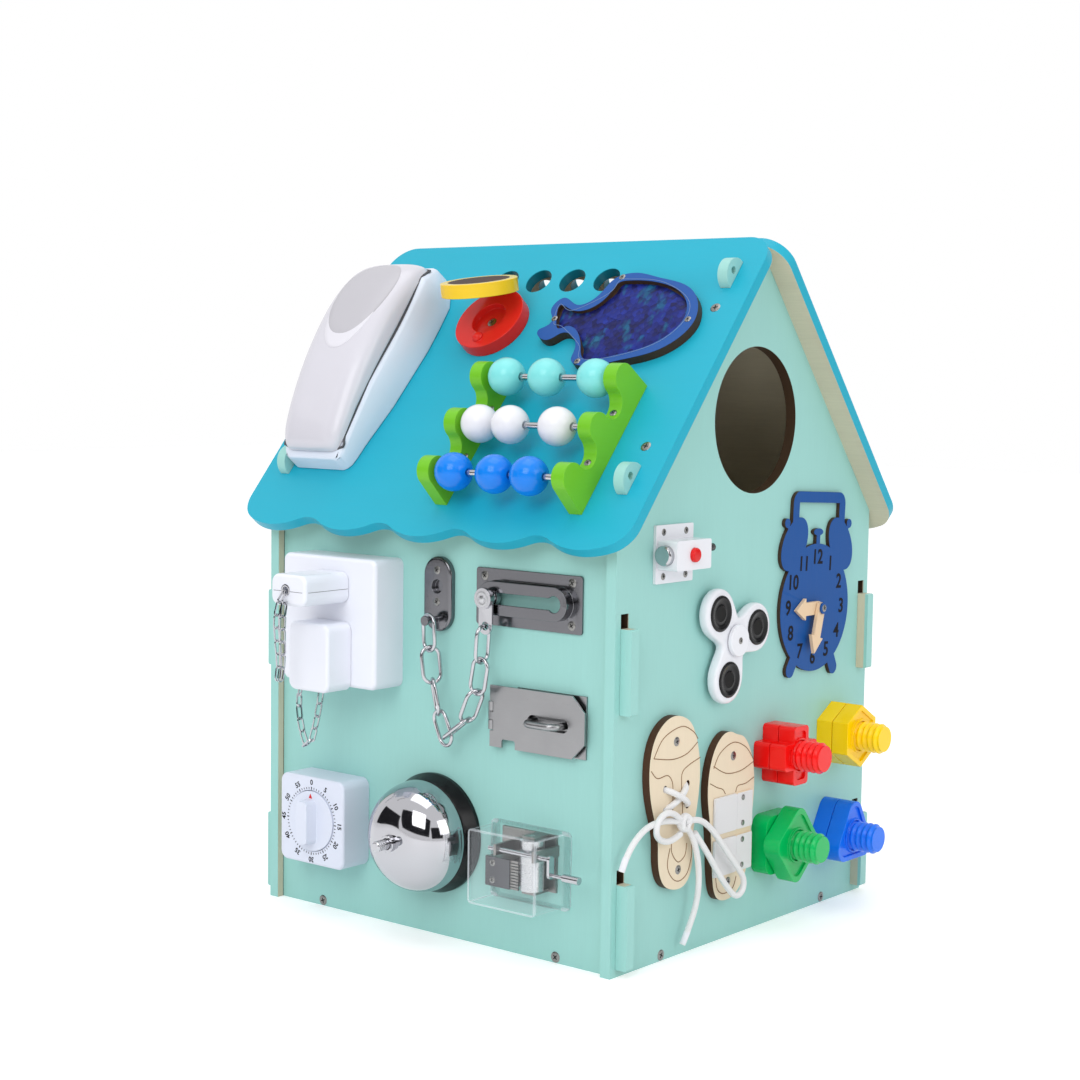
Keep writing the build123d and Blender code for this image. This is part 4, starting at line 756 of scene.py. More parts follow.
# A dark disc of painted shade stands for the shaded hollow in the castanet lid's top.
LID_HOLLOW_SHADE = Timber("painted lid hollow shade", "castanet_yellow", (0.055, 0.022, 0.012), along=0, roughness=0.7)
WHALE_BLUE = Timber("paint whale", "whale_navy", (0.012, 0.085, 0.34), BURNT,
                    lambda shader: roof_lift(shader).above(WHALE_FACE), 0, roughness=0.5)
WHALE_LINE = Timber("pale whale line", "whale_navy", (0.16, 0.24, 0.42), along=0, roughness=0.6)
SEQUINS = Sequins("sequin cloth", "whale_navy", (0.02, 0.05, 0.30))
ABACUS_GREEN = Timber("paint abacus", "abacus_green", (0.17, 0.53, 0.02), along=1, roughness=0.32)
CLOCK_BLUE = Timber("paint clock", "clock_blue", (0.001, 0.075, 0.31), BURNT,
                    partial(beyond, x=CLOCK_FACE), roughness=0.5)
HAND_BIRCH = Timber("hand birch", "hand_birch", (0.80, 0.60, 0.40), roughness=0.5)
SHOE_BIRCH = Timber("shoe birch", "shoe_birch", (0.80, 0.68, 0.51), (0.085, 0.032, 0.014),
                    partial(beyond, x=SHOE_FACE), roughness=0.5)
BURNT_LINE = Timber("burnt line", "shoe_birch", (0.24, 0.13, 0.06), roughness=0.7)
CHROME = Metal("chrome", "chain_chrome", (0.56, 0.56, 0.59), 0.14)
SCREW_STEEL = Metal("screw steel", "screw_steel", (0.30, 0.295, 0.285), 0.28)
SATIN_STEEL = Metal("satin steel", "drum_steel", (0.62, 0.63, 0.65), 0.28, (18, 1, 1))
DARK_NICKEL = Metal("dark nickel", "plate_steel", (0.20, 0.20, 0.215), 0.18, (20, 1, 1))
HASP_ZINC = Metal("hasp zinc", "hasp_steel", (0.38, 0.38, 0.39), 0.30, (20, 1, 1), 0.03, 0.12)
MIRROR = Metal("mirror chrome", "bell_chrome", (0.50, 0.50, 0.53), 0.07, variation=0.01, depth=0.0003)
GUNMETAL = Metal("gunmetal", "movement_steel", (0.30, 0.29, 0.28), 0.35)
COMB_STEEL = Metal("comb steel", "movement_steel", (0.12, 0.12, 0.13), 0.32, (18, 1, 1))
PHONE_PEARL = Plastic("phone pearl", "phone_pearl", (0.63, 0.62, 0.68), 0.30, 0.3)
PHONE_PLATE = Plastic("phone ear plate", "phone_pearl", (0.50, 0.49, 0.53), 0.45, 0.05)
# A lighter pearl painted as a highlight on the crescent below the ear plate.
PHONE_EAR_HIGHLIGHT = Plastic("painted ear highlight", "phone_pearl", (0.72, 0.71, 0.77), 0.35, 0.1)
PHONE_WHITE = Plastic("phone white", "phone_white", (0.70, 0.76, 0.87), 0.30, 0.2)
SOCKET_WHITE = Plastic("socket white", "socket_white", (0.82, 0.84, 0.92), 0.30)
TIMER_WHITE = Plastic("timer white", "timer_white", (0.72, 0.76, 0.88), 0.36)
BLACK_GLOSS = Plastic("black gloss", "bell_black", (0.006, 0.006, 0.007), 0.25, 0.0, shine=0.25)
LATCH_WHITE = Plastic("latch white", "latch_white", (0.80, 0.81, 0.86), 0.25, 0.2)
SPINNER_WHITE = Plastic("spinner white", "spinner_white", (0.80, 0.81, 0.86), 0.2, 0.3)
BUTTON_RED = Plastic("button red", "button_red", (0.70, 0.006, 0.006), 0.25)
INK = Plastic("ink", "bell_black", (0.010, 0.010, 0.013), 0.6, 0.0, shine=0.1)
RED_INK = Plastic("red ink", "button_red", (0.70, 0.02, 0.02), 0.5, 0.0)
# Near black, painted as the shade in screw crosses and spinner wells.
RECESS_SHADE = Plastic("painted recess shade", "bell_black", (0.015, 0.015, 0.015), 0.6, 0.0, shine=0.1)
# Grey for the plug's seam line, also painted as shade in the gap between handset and cradle.
SEAM_GREY = Plastic("seam grey", "phone_white", (0.10, 0.10, 0.11), 0.6, 0.0, shine=0.1)
LACE_WHITE = Cloth("lace white", "lace_white", (0.86, 0.86, 0.87), 1.1)
STRAP_WHITE = Cloth("strap white", "strap_white", (0.84, 0.84, 0.86), 0.8)
CLEAR_COVER = Clear("clear cover", "clear_cover", (0.90, 0.94, 1.0), cover_edges)
BEADS = {name: Plastic(f"bead {name} gloss", f"bead_{name}", colour, 0.22, 0.15)
         for name, colour in (("aqua", (0.22, 0.72, 0.72)), ("white", (0.80, 0.80, 0.84)),
                              ("blue", (0.002, 0.21, 0.80)))}
NUTS = {name: Plastic(f"nut {name} gloss", f"nut_{name}", colour, 0.25, 0.15)
        for name, colour in (("red", (0.90, 0.006, 0.005)), ("yellow", (1.0, 0.66, 0.0)),
                             ("green", (0.0, 0.48, 0.11)), ("blue", (0.005, 0.17, 0.90)))}
BOLT_COLOURS = FourColours("bolts in four colours", "bolt_mixed", (0.8, 0.2, 0.1))


# --------------------------------------------------------------------------- meshes
FLAT_ANGLE = 0.6  # degrees under which neighbouring facets become one face
FACET_WELD = 1e-6  # metres within which a CAD mesh's points are joined
FORM_WELD = 1e-7  # and a new form's


class Form:
    """A mesh being put together in millimetres, then made into one piece."""

    def __init__(self) -> None:
        """Start with an empty mesh."""
        self.mesh = bmesh.new()

    def loft(self, rings: Sequence[Sequence[Vector]], caps: bool = True) -> "Form":
        """Skin over closed rings of points of equal count.

        Args:
            rings: The rings, from one end to the other.
            caps: Whether to fill the first and last ring.

        Returns:
            The form.
        """
        loops = [[self.mesh.verts.new(point * MM) for point in ring] for ring in rings]
        for near, far in zip(loops, loops[1:]):
            for i, j in zip(range(len(near)), [*range(1, len(near)), 0]):
                self.mesh.faces.new((near[i], near[j], far[j], far[i]))
        if caps:
            self.mesh.faces.new(list(reversed(loops[0])))
            self.mesh.faces.new(loops[-1])
        return self

    def lathe(self, seat: Seat, profile: Profile, segments: int = 48) -> "Form":
        """Turn a profile about the seat's outward axis into a closed solid.

        Args:
            seat: The axis's foot and direction.
            profile: Points of (radius, lift), from one end to the other.
            segments: Points round the axis.

        Returns:
            The form.
        """
        return self.loft([[seat.point(*polar(max(radius, 0.01), t), lift) for t in around(segments)]
                          for radius, lift in profile])

    def ring(self, seat: Seat, profile: Profile, segments: int = 48) -> "Form":
        """Turn a closed profile about the seat's outward axis into a ring.

        Args:
            seat: The axis's foot and direction.
            profile: Points of (radius, lift) round the ring's section.
            segments: Points round the axis.

        Returns:
            The form.
        """
        return self.loft([[seat.point(*polar(radius, t), lift) for radius, lift in profile]
                          for t in around(segments, 1)], caps=False)

    def tube(self, points: Sequence[Vector], radius: float, closed: bool = False, sides: int = 12) -> "Form":
        """Sweep a circle along points, turning as little as it can.

        Args:
            points: The middle line.
            radius: The circle's radius.
            closed: Whether the line closes on itself.
            sides: Points round the circle.

        Returns:
            The form.
        """
        count = len(points)
        tangents = []
        for i in range(count):
            ahead = points[(i + 1) % count] if closed else points[min(i + 1, count - 1)]
            behind = points[i - 1] if closed else points[max(i - 1, 0)]
            tangents.append((ahead - behind).normalized())
        side = tangents[0].orthogonal().normalized()
        rings = []
        for point, tangent in zip(points, tangents):
            side = (side - tangent * side.dot(tangent)).normalized()
            other = tangent.cross(side)
            rings.append([point + (side * math.cos(t) + other * math.sin(t)) * radius
                          for t in around(sides)])
        if closed:
            rings.append(rings[0])
        return self.loft(rings, caps=not closed)

    def slab(self, seat: Seat, outline: Profile, thickness: float, inset: float = 0.0) -> "Form":
        """Raise an outline off a seat.

        Args:
            seat: Where it stands.
            outline: Its outline on the seat.
            thickness: How far it rises.
            inset: How far its top edge is drawn in.

        Returns:
            The form.
        """
        base = [seat.point(x, y) for x, y in outline]
        middle = sum(base, Vector()) / len(base)
        rings = [base]
        if inset:
            rings.append([p + seat.out * (thickness - inset) for p in base])
        rings.append([p + (middle - p).normalized() * inset + seat.out * thickness for p in base])
        return self.loft(rings)

    def text(self, seat: Seat, words: str, size: float, thickness: float, bold: float) -> "Form":
        """Set short text in the plain built-in face, its middle on the seat.

        Args:
            seat: Where it stands.
            words: The text.
            size: Its size.
            thickness: How far it rises.
            bold: How much bolder it is made, as a share of its size.

        Returns:
            The form.
        """
        curve = bpy.data.curves.new("words", "FONT")
        curve.body = words
        curve.align_x = "CENTER"
        curve.align_y = "CENTER"
        curve.size = size
        curve.extrude = thickness / 2
        curve.offset = size * bold
        curve.resolution_u = 3
        holder = bpy.data.objects.new("words", curve)
        mesh = bpy.data.meshes.new_from_object(holder)
        to_seat = Matrix((seat.right, seat.up, seat.out)).transposed().to_4x4()
        to_seat.translation = seat.point(0, 0, thickness / 2)
        mesh.transform(Matrix.Scale(MM, 4) @ to_seat)
        self.mesh.from_mesh(mesh)
        bpy.data.objects.remove(holder)
        bpy.data.curves.remove(curve)
        bpy.data.meshes.remove(mesh)
        return self

    def copied(self, node: str) -> "Form":
        """Take a CAD node's own mesh, its facets joined into whole faces.

        Args:
            node: The CAD node.

        Returns:
            The form.
        """
        self.mesh.from_mesh(bpy.data.objects[node].data)
        bmesh.ops.remove_doubles(self.mesh, verts=self.mesh.verts, dist=FACET_WELD)
        bmesh.ops.dissolve_limit(self.mesh, angle_limit=math.radians(FLAT_ANGLE), verts=self.mesh.verts,
                                 use_dissolve_boundaries=False, edges=self.mesh.edges)
        return self

    def piece(self, name: str, finish: Finish, body: str = "house", stands_for: Sequence[str] = (),
              smooth: float = 40.0, bevel: float = 0.0, subdivide: int = 0) -> bpy.types.Object:
        """Make the piece and let it ride on its body.

        Args:
            name: The piece's name.
            finish: What it is made of.
            body: The body that carries it.
            stands_for: CAD nodes that it replaces.
            smooth: Angle in degrees under which edges are shaded smooth.
            bevel: Width of a rounding of its sharp edges, in millimetres.
            subdivide: Levels of subdivision.

        Returns:
            The Blender object.
        """
        bmesh.ops.remove_doubles(self.mesh, verts=self.mesh.verts, dist=FORM_WELD)
        bmesh.ops.recalc_face_normals(self.mesh, faces=self.mesh.faces)
        data = bpy.data.meshes.new(name)
        self.mesh.to_mesh(data)
        self.mesh.free()
        for polygon in data.polygons:
            polygon.use_smooth = True
        data.set_sharp_from_angle(angle=math.radians(smooth))
        thing = bpy.data.objects.new(name, data)
        bpy.context.scene.collection.objects.link(thing)
        data.materials.append(Palette.get(finish))
        if bevel:
            rounding = thing.modifiers.new("rounding", "BEVEL")
            rounding.width = bevel * MM
            rounding.segments = 3
            rounding.limit_method = "ANGLE"
            rounding.angle_limit = math.radians(smooth)
            rounding.harden_normals = True
        if subdivide:
            finer = thing.modifiers.new("finer", "SUBSURF")
            finer.levels = subdivide
            finer.render_levels = subdivide
        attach(thing, body)
        if stands_for:
            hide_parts(*stands_for)
        LOG.info("%s rides on %s", name, body)
        return thing


def smooth_line(points: Sequence[Vector], steps: int = 8, closed: bool = False) -> list[Vector]:
    """Round a line with a Catmull-Rom curve.

    Args:
        points: The points that the line passes through.
        steps: Points per stretch.
        closed: Whether the line closes on itself.

    Returns:
        The finer points.
    """
    count = len(points)
    line: list[Vector] = []
    for i in range(count if closed else count - 1):
        if closed:
            a, b, c, d = (points[(i + k) % count] for k in (-1, 0, 1, 2))
        else:
            a, b, c, d = (points[min(max(i + k, 0), count - 1)] for k in (-1, 0, 1, 2))
        for step in range(steps):
            t = step / steps
            line.append(0.5 * ((2 * b) + (c - a) * t + (2 * a - 5 * b + 4 * c - d) * t * t
                               + (3 * b - a - 3 * c + d) * t * t * t))
    if not closed:
        line.append(points[-1].copy())
    return line


def rounded_box(width: float, height: float, corner: float, steps: int = 6) -> list[Point2]:
    """Work out a rounded rectangle about its middle.

    Args:
        width: Its width.
        height: Its height.
        corner: Its corners' radius.
        steps: Stretches in each corner.

    Returns:
        Its outline.
    """
    outline = []
    for quarter, (sx, sy) in enumerate(((1, 1), (-1, 1), (-1, -1), (1, -1))):
        for i in range(steps + 1):
            x, y = polar(corner, math.pi / 2 * (quarter + i / steps))
            outline.append((sx * (width / 2 - corner) + x, sy * (height / 2 - corner) + y))
    return outline


def paint(node: str, finish: Finish) -> None:
    """Give a CAD node a finish.

    Args:
        node: The CAD node.
        finish: What it is made of.
    """
    thing = bpy.data.objects[node]
    material = Palette.get(finish)
    if not thing.material_slots:
        thing.data.materials.append(material)
    for slot in thing.material_slots:
        slot.material = material
    LOG.info("%s is finished in %s", node, finish.name)


def soften(node: str, finish: Finish, width: float, body: str = "house",
           smooth: float = 32.0) -> bpy.types.Object:
    """Stand a copy with rounded edges in for a CAD node.

    Args:
        node: The CAD node.
        finish: What it is made of.
        width: The rounding's width in millimetres.
        body: The body that carries it.
        smooth: Angle in degrees past which an edge is rounded.

    Returns:
        The piece.
    """
    return Form().copied(node).piece(node + "_rounded", finish, body, [node], smooth, width)


# ---------------------------------------------------------------------------- screws
@dataclass(frozen=True)
class ScrewHead:
    """A countersunk head whose cross recess is a dark slab of painted shade.

    Args:
        seat: Its middle, on the face that it is sunk in.
        diameter: Across the head.
        turn: How far its cross is turned, in degrees.
        profile: Its (share of the radius, lift) from the rim to the middle.
        bar: Length and width of each bar of the cross, as shares of the diameter.
    """

    seat: Seat
    diameter: float
    turn: float = 35.0
    profile: Profile = ((1.0, 0.0), (1.0, 0.12), (0.9, 0.32), (0.55, 0.42), (0.0, 0.44))
    bar: Point2 = (0.52, 0.11)

    def build(self, heads: Form, slots: Form) -> None:
        """Add the head to one form and its cross, in painted shade, to another.

        Args:
            heads: The form of the heads.
            slots: The form of their crosses.
        """
        radius = self.diameter / 2
        heads.lathe(self.seat, [(radius * share, lift) for share, lift in self.profile], 24)
        outline = rounded_box(self.diameter * self.bar[0], self.diameter * self.bar[1], 0.1, 1)
        for turn in (self.turn, self.turn + 90.0):
            slots.slab(self.seat.turned(turn).moved(lift=0.36), outline, 0.12)


def screw_group(name: str, screws: Sequence[ScrewHead]) -> None:
    """Build several screw heads as one piece, with their crosses of painted shade as another.

    Args:
        name: The start of both pieces' names.
        screws: The heads.
    """
    heads, slots = Form(), Form()
    for screw in screws:
        screw.build(heads, slots)
    heads.piece(name + "_heads", SCREW_STEEL)
    slots.piece(name + "_crosses", RECESS_SHADE)


# --------------------------------------------------------------------- sub-assemblies
@dataclass
class SubAssembly(ABC):
    """One group of pieces of the house."""

    @abstractmethod
    def build(self) -> None:
        """Make the group's pieces and finish its CAD nodes."""


@dataclass
class House(SubAssembly):
    """The plywood panels and the screws that hold them."""

    finishes: dict[str, Finish] = field(default_factory=lambda: {
        **{f"gable_panel_{side}": finish for side, finish in GABLES.items()},
        **{f"{side}_panel": finish for side, finish in WALLS.items()},
        **{f"roof_panel_{side}": finish for side, finish in ROOFS.items()},
        "base_board": BARE_BOARD, "screws": SCREW_STEEL})
    screw_diameter: float = 7.0
    cross_turn: float = 20.0
    cross_step: float = 37.0
    base_screw_x: float = 103.0
    base_screw_y: float = 96.5
    roof_screw_x: float = 146.25
    roof_screw_places: Point2 = (61.0, 174.0)

    def seats(self) -> list[Seat]:
        """Work out where the panel screws sit.

        Returns:
            Their seats on every side.
        """
        low = PLY / 2
        seats = []
        for side in (-1, 1):
            x, y = side * self.base_screw_x, side * self.base_screw_y
            seats += [seat_on(Wall.FRONT, x, low), seat_on(Wall.GABLE, y, low),
                      Seat(Vector((x, WALL, low)), -AXIS_X, AXIS_Z),
                      Seat(Vector((-HALF_WIDTH, y, low)), -AXIS_Y, AXIS_Z)]
            for place in self.roof_screw_places:
                front = seat_on(Wall.ROOF, side * self.roof_screw_x, place)
                behind = Vector((1, -1, 1))
                seats += [front, Seat(front.origin * behind, -AXIS_X, front.up * behind)]
        return seats

    def build(self) -> None:
        """Finish the panels and make the heads of their screws."""
        for node, finish in self.finishes.items():
            paint(node, finish)
        heads = [ScrewHead(seat, self.screw_diameter, self.cross_turn + self.cross_step * i)
                 for i, seat in enumerate(self.seats())]
        screw_group("panel_screw", heads)


@dataclass
class Phone(SubAssembly):
    """The toy phone: a pearly handset lying in its white cradle."""

    centre: float = -114.0
    # Each section's place down the roof, half width, floor, shoulder and crown.
    handset: tuple = ((41.5, 14, 20.5, 22, 24), (45, 21, 24, 27.5, 31), (52, 27, 28.6, 33, 39),
                      (62, 30, 33.3, 37, 45.5), (80, 31.5, 31.8, 38, 50.5), (105, 32, 30, 38, 51.5),
                      (142, 31, 28, 34.5, 46), (172, 29.5, 23, 28.5, 37), (190, 27.8, 18.8, 23.5, 30.5),
                      (199, 25.5, 15.9, 19.6, 25), (203, 21, 15, 17.5, 20.5))
    # Each section's place down the roof, half width, upright, half width at the seam and seam.
    cradle: tuple = ((38, 22, 8, 20, 19), (42, 25, 10.5, 22, 22), (60, 34, 19.5, 31.5, 33),
                     (80, 36, 17.5, 32.6, 31.2), (100, 37, 15, 33, 29.5), (150, 34.5, 9, 31.5, 27),
                     (184, 29.5, 4.5, 29, 20), (196, 28.6, 4.0, 28.0, 16.8), (201, 27.6, 3.6, 27.0, 15.2),
                     (204.2, 25.4, 3.3, 24.8, 14.0), (206, 21.5, 3.0, 21.0, 13.0))
    plate_middle: Point2 = (-112.0, 90.0)
    plate_half: Point2 = (23.0, 35.0)
    plate_lift: float = 0.55
    plate_shares: tuple[float, ...] = (0.985, 0.8, 0.6, 0.4, 0.2, 0.01)
    crescent_start: float = 14.0
    crescent_reach: float = 10.0
    crescent_lift: float = 0.4
    gasket_inset: float = 1.3
    gasket_radius: float = 0.9

    def handset_ring(self, place: float, half: float, floor: float, shoulder: float,
                     crown: float) -> list[Vector]:
        """Work out one crowned section of the handset.

        Args:
            place: Distance down the roof.
            half: Half its width.
            floor: Height of its underside.
            shoulder: Height of its sides.
            crown: Height of its middle.

        Returns:
            The section's points.
        """
        seat = seat_on(Wall.ROOF, self.centre, place)
        outline = [(-half + 1.5, floor), (half - 1.5, floor), (half, floor + 1.5), (half, shoulder - 4)]
        arc = 12
        for i in range(1, arc):
            t = math.pi * i / arc
            x = half * math.copysign(abs(math.cos(t)) ** 0.62, math.cos(t))
            outline.append((x, shoulder - 3 + (crown - shoulder + 3) * math.sin(t) ** 0.8))
        outline += [(-half, shoulder - 4), (-half, floor + 1.5)]
        return [seat.point(x, 0, lift) for x, lift in outline]

    def draped(self, shell: bpy.types.Object, outline: Profile, lift: float) -> Form:
        """Lay a thin plate on the handset.

        Args:
            shell: The handset.
            outline: The plate's outline, across and down the roof.
            lift: How far its top stands over the handset.

        Returns:
            The plate.
        """
        depsgraph = bpy.context.evaluated_depsgraph_get()
        tree = BVHTree.FromObject(shell, depsgraph)
        middle = [sum(places) / len(outline) for places in zip(*outline)]
        rings = []
        layers = [(1.0, -0.4), (1.0, 0.55 * lift), *((share, lift) for share in self.plate_shares)]
        for share, height in layers:
            ring = []
            for place in outline:
                spot = seat_on(Wall.ROOF, *(m + (p - m) * share for m, p in zip(middle, place)))
                hit = tree.ray_cast(spot.point(lift=90) * MM, -spot.out)[0]
                ring.append(hit / MM + spot.out * height if hit else spot.point(lift=40))
            rings.append(ring)
        return Form().loft(rings)

    def ear_outline(self) -> list[Point2]:
        """Returns: The ear plate's blunt oval, across and down the roof."""
        points = []
        for t in around(48):
            across = math.copysign(abs(math.cos(t)) ** 0.86, math.cos(t)) * self.plate_half[0]
            down = math.copysign(abs(math.sin(t)) ** 0.92, math.sin(t)) * self.plate_half[1]
            narrow = 1.0 - 0.12 * math.sin(t)
            points.append((self.plate_middle[0] + across * narrow, self.plate_middle[1] + down))
        return points

    def crescent(self) -> list[Point2]:
        """Returns: The crescent of painted highlight below the ear plate, across and down the roof."""
        lower = sorted(p for p in self.ear_outline() if p[1] > self.plate_middle[1] + self.crescent_start)
        last = len(lower) - 1
        outer = [(x, s + 0.8 + self.crescent_reach * math.sin(math.pi * i / last) ** 0.8)
                 for i, (x, s) in enumerate(lower)]
        return [(x, s + 0.6) for x, s in lower] + outer[::-1]

    def gasket(self) -> list[Vector]:
        """Returns: The closed line of painted shade in the gap between the handset and its cradle."""
        sides = ((1, self.handset[1:-1]), (-1, self.handset[-2:0:-1]))
        return [seat_on(Wall.ROOF, self.centre + side * (half - self.gasket_inset), place, floor - 0.1).origin
                for side, rows in sides for place, half, floor, _, _ in rows]

    def cradle_ring(self, place: float, half: float, upright: float, seam_half: float,
                    seam: float) -> list[Vector]:
        """Work out one section of the cradle.

        Args:
            place: Distance down the roof.
            half: Half its width at the roof.
            upright: Height of its sides.
            seam_half: Half its width at the seam.
            seam: Height of the seam.

        Returns:
            The section's points.
        """
        seat = seat_on(Wall.ROOF, self.centre, place)
        right = [(half, 0.0), (half, upright), (seam_half + 1, seam - 3), (seam_half, seam - 1),
                 (seam_half - 2, seam)]
        left = [(-x, lift) for x, lift in right]
        return [seat.point(x, 0, lift) for x, lift in [left[0], *right, *left[:0:-1]]]

    def build(self) -> None:
        """Make the handset with its ear plate and painted highlight, the dark line of painted shade in the
        gap, and the cradle.
        """
        shell = Form().loft([self.handset_ring(*row) for row in self.handset]).piece(
            "handset_shell", PHONE_PEARL, "handset", ["phone_handset"], 50, subdivide=2)
        plate = self.draped(shell, self.ear_outline(), self.plate_lift)
        plate.piece("ear_plate", PHONE_PLATE, "handset")
        # The pale crescent is a painted highlight.
        rim = self.draped(shell, self.crescent(), self.crescent_lift)
        rim.piece("ear_crescent_highlight", PHONE_EAR_HIGHLIGHT, "handset")
        # A dark tube paints the shade in the gap along the handset's lower edge.
        gasket = Form().tube(smooth_line(self.gasket(), 4, True), self.gasket_radius, True, 8)
        gasket.piece("cradle_gap_shade", SEAM_GREY)
        cradle = Form().loft([self.cradle_ring(*row) for row in self.cradle])
        cradle.piece("cradle_shell", PHONE_WHITE, stands_for=["phone_cradle"], smooth=30, bevel=2.0)


@dataclass
class Castanet(SubAssembly):
    """The castanet: red base, yellow lid whose hollow is a dark disc of painted shade, and its screw."""

    base: Seat = seat_on(Wall.ROOF, -28.5, 77.0)
    open_angle: float = 40.0
    hinge_reach: float = 26.5
    hinge_lift: float = 9.7
    lid_thickness: float = 9.5
    disc: Points = ((25.2, 0.0), (25.0, 0.18), (12, 0.25), (0, 0.25))
    rounding: float = 1.8
    screw_lift: float = 5.0
    screw_head: float = 7.0

    def lid_seat(self, lift: float) -> Seat:
        """Find a place on the opened lid's axis.

        Args:
            lift: Height over the closed lid's underside.

        Returns:
            The seat.
        """
        hinge = self.base.moved(0, self.hinge_reach, self.hinge_lift)
        turn = Quaternion(-AXIS_X, math.radians(self.open_angle))
        arm = self.base.moved(0, 0, self.hinge_lift + lift).origin - hinge.origin
        return Seat(hinge.origin + turn @ arm, turn @ self.base.right, turn @ self.base.up)

    def build(self) -> None:
        """Finish both halves, and make the dark disc of painted shade for the lid's hollow, and the screw."""
        soften("castanet_base", LACQUERS["red"], self.rounding)
        soften("castanet_lid", LACQUERS["yellow"], self.rounding, "castanet_lid")
        disc = Form().lathe(self.lid_seat(self.lid_thickness), self.disc, 64)
        disc.piece("lid_hollow_shade", LID_HOLLOW_SHADE, "castanet_lid")
        screw_group("castanet_screw", [ScrewHead(self.base.moved(lift=self.screw_lift), self.screw_head)])


@dataclass
class Whale(SubAssembly):
    """The whale-shaped frame with sequined cloth in it."""

    back_lift: float = 3.0
    top_lift: float = 6.5
    window: Points = ((29.7, 79.0), (26.5, 63.0), (39.6, 68.3), (61.4, 54.5), (65.1, 43.5), (72.4, 42.0),
                      (99.3, 44.7), (125.1, 58.7), (131.9, 75.3), (120.3, 94.6), (92.5, 106.5), (67.0, 108.8),
                      (59.7, 97.4), (38.7, 82.4))
    middle: Point2 = (84.0, -76.0)
    # The cloth's shares of the window, from its edge to its middle, with how far each swells.
    swell: Points = ((0.995, 0.0), (0.97, 0.5), (0.75, 0.9), (0.5, 1.0), (0.25, 1.05), (0.02, 1.05))
    line_share: float = 1.035
    line_radius: float = 0.22
    screws: Points = ((65.0, 38.9), (26.4, 75.2), (135.4, 76.3), (64.6, 112.1))
    screw_head: float = 4.6

    def build(self) -> None:
        """Finish the frame, and make the cloth, the pale line and the screws."""
        soften("whale_frame", WHALE_BLUE, 0.25, smooth=50)
        level = seat_on(Wall.ROOF, 0, 0)
        inner = smooth_line([level.point(x, -s, self.back_lift) for x, s in self.window], 8, True)
        middle = level.point(*self.middle, self.back_lift)
        cloth = Form().loft([[middle + (p - middle) * share + level.out * rise for p in inner]
                             for share, rise in self.swell])
        cloth.piece("sequin_cloth", SEQUINS, smooth=60)
        rise = level.out * (self.top_lift - self.back_lift)
        line = [middle + (p - middle) * self.line_share + rise for p in inner]
        Form().tube(line, self.line_radius, True, 6).piece("whale_inner_line", WHALE_LINE)
        screw_group("whale_screw", [ScrewHead(seat_on(Wall.ROOF, x, s, self.top_lift), self.screw_head)
                                    for x, s in self.screws])


@dataclass
class Abacus(SubAssembly):
    """The abacus: green brackets, steel rods and nine beads."""

    rods: tuple[float, ...] = (138.0, 177.3, 216.6)
    rod_radius: float = 2.06
    lift: float = 21.0
    radius: float = 12.5
    round_angle: float = 76.0
    round_steps: int = 24
    bore_edge: Points = ((2.1, 11.6), (3.0, 12.1))
    left: float = 14.6
    span: float = 109.8
    bracket: float = 10.0
    screw_x: Point2 = (19.6, 119.4)
    screw_places: Point2 = (157.65, 196.95)
    screw_lift: float = 11.3
    screw_head: float = 5.0

    def axis(self, x: float, row: int) -> Seat:
        """Returns: A seat whose outward direction is a rod's own direction."""
        seat = seat_on(Wall.ROOF, x, self.rods[row], self.lift)
        return seat.facing(seat.up, seat.out)

    def bead_profile(self) -> list[Point2]:
        """Returns: A bead's round outside with the rounded edges of its bore, as (radius, along)."""
        whole = 2 * self.round_angle
        angles = (math.radians(-self.round_angle + whole * i / self.round_steps)
                  for i in range(self.round_steps + 1))
        start = [(radius, -along) for radius, along in self.bore_edge]
        return [*start, *(polar(self.radius, t) for t in angles), *self.bore_edge[::-1]]

    def build(self) -> None:
        """Finish the brackets, and make the rods, the beads and the screws."""
        soften("abacus_frame", ABACUS_GREEN, 1.1)
        rods = Form()
        for row in range(len(self.rods)):
            start = self.axis(self.left + self.bracket, row)
            rods.lathe(start, [(self.rod_radius, 0.0), (self.rod_radius, self.span - 2 * self.bracket)], 20)
        rods.piece("abacus_rods", CHROME)
        profile = self.bead_profile()
        for row, (colour, finish) in enumerate(BEADS.items()):
            for number in (1, 2, 3):
                node = f"bead_{colour}_{number}"
                low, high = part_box(node)
                across = (low[0] + high[0]) / (2 * MM)
                bead = Form().ring(self.axis(across, row), profile, 44)
                bead.piece(f"bead_ball_{colour}_{number}", finish, node, [node], 50)
        screw_group("abacus_screw", [ScrewHead(seat_on(Wall.ROOF, x, s, self.screw_lift), self.screw_head)
                                     for x in self.screw_x for s in self.screw_places])


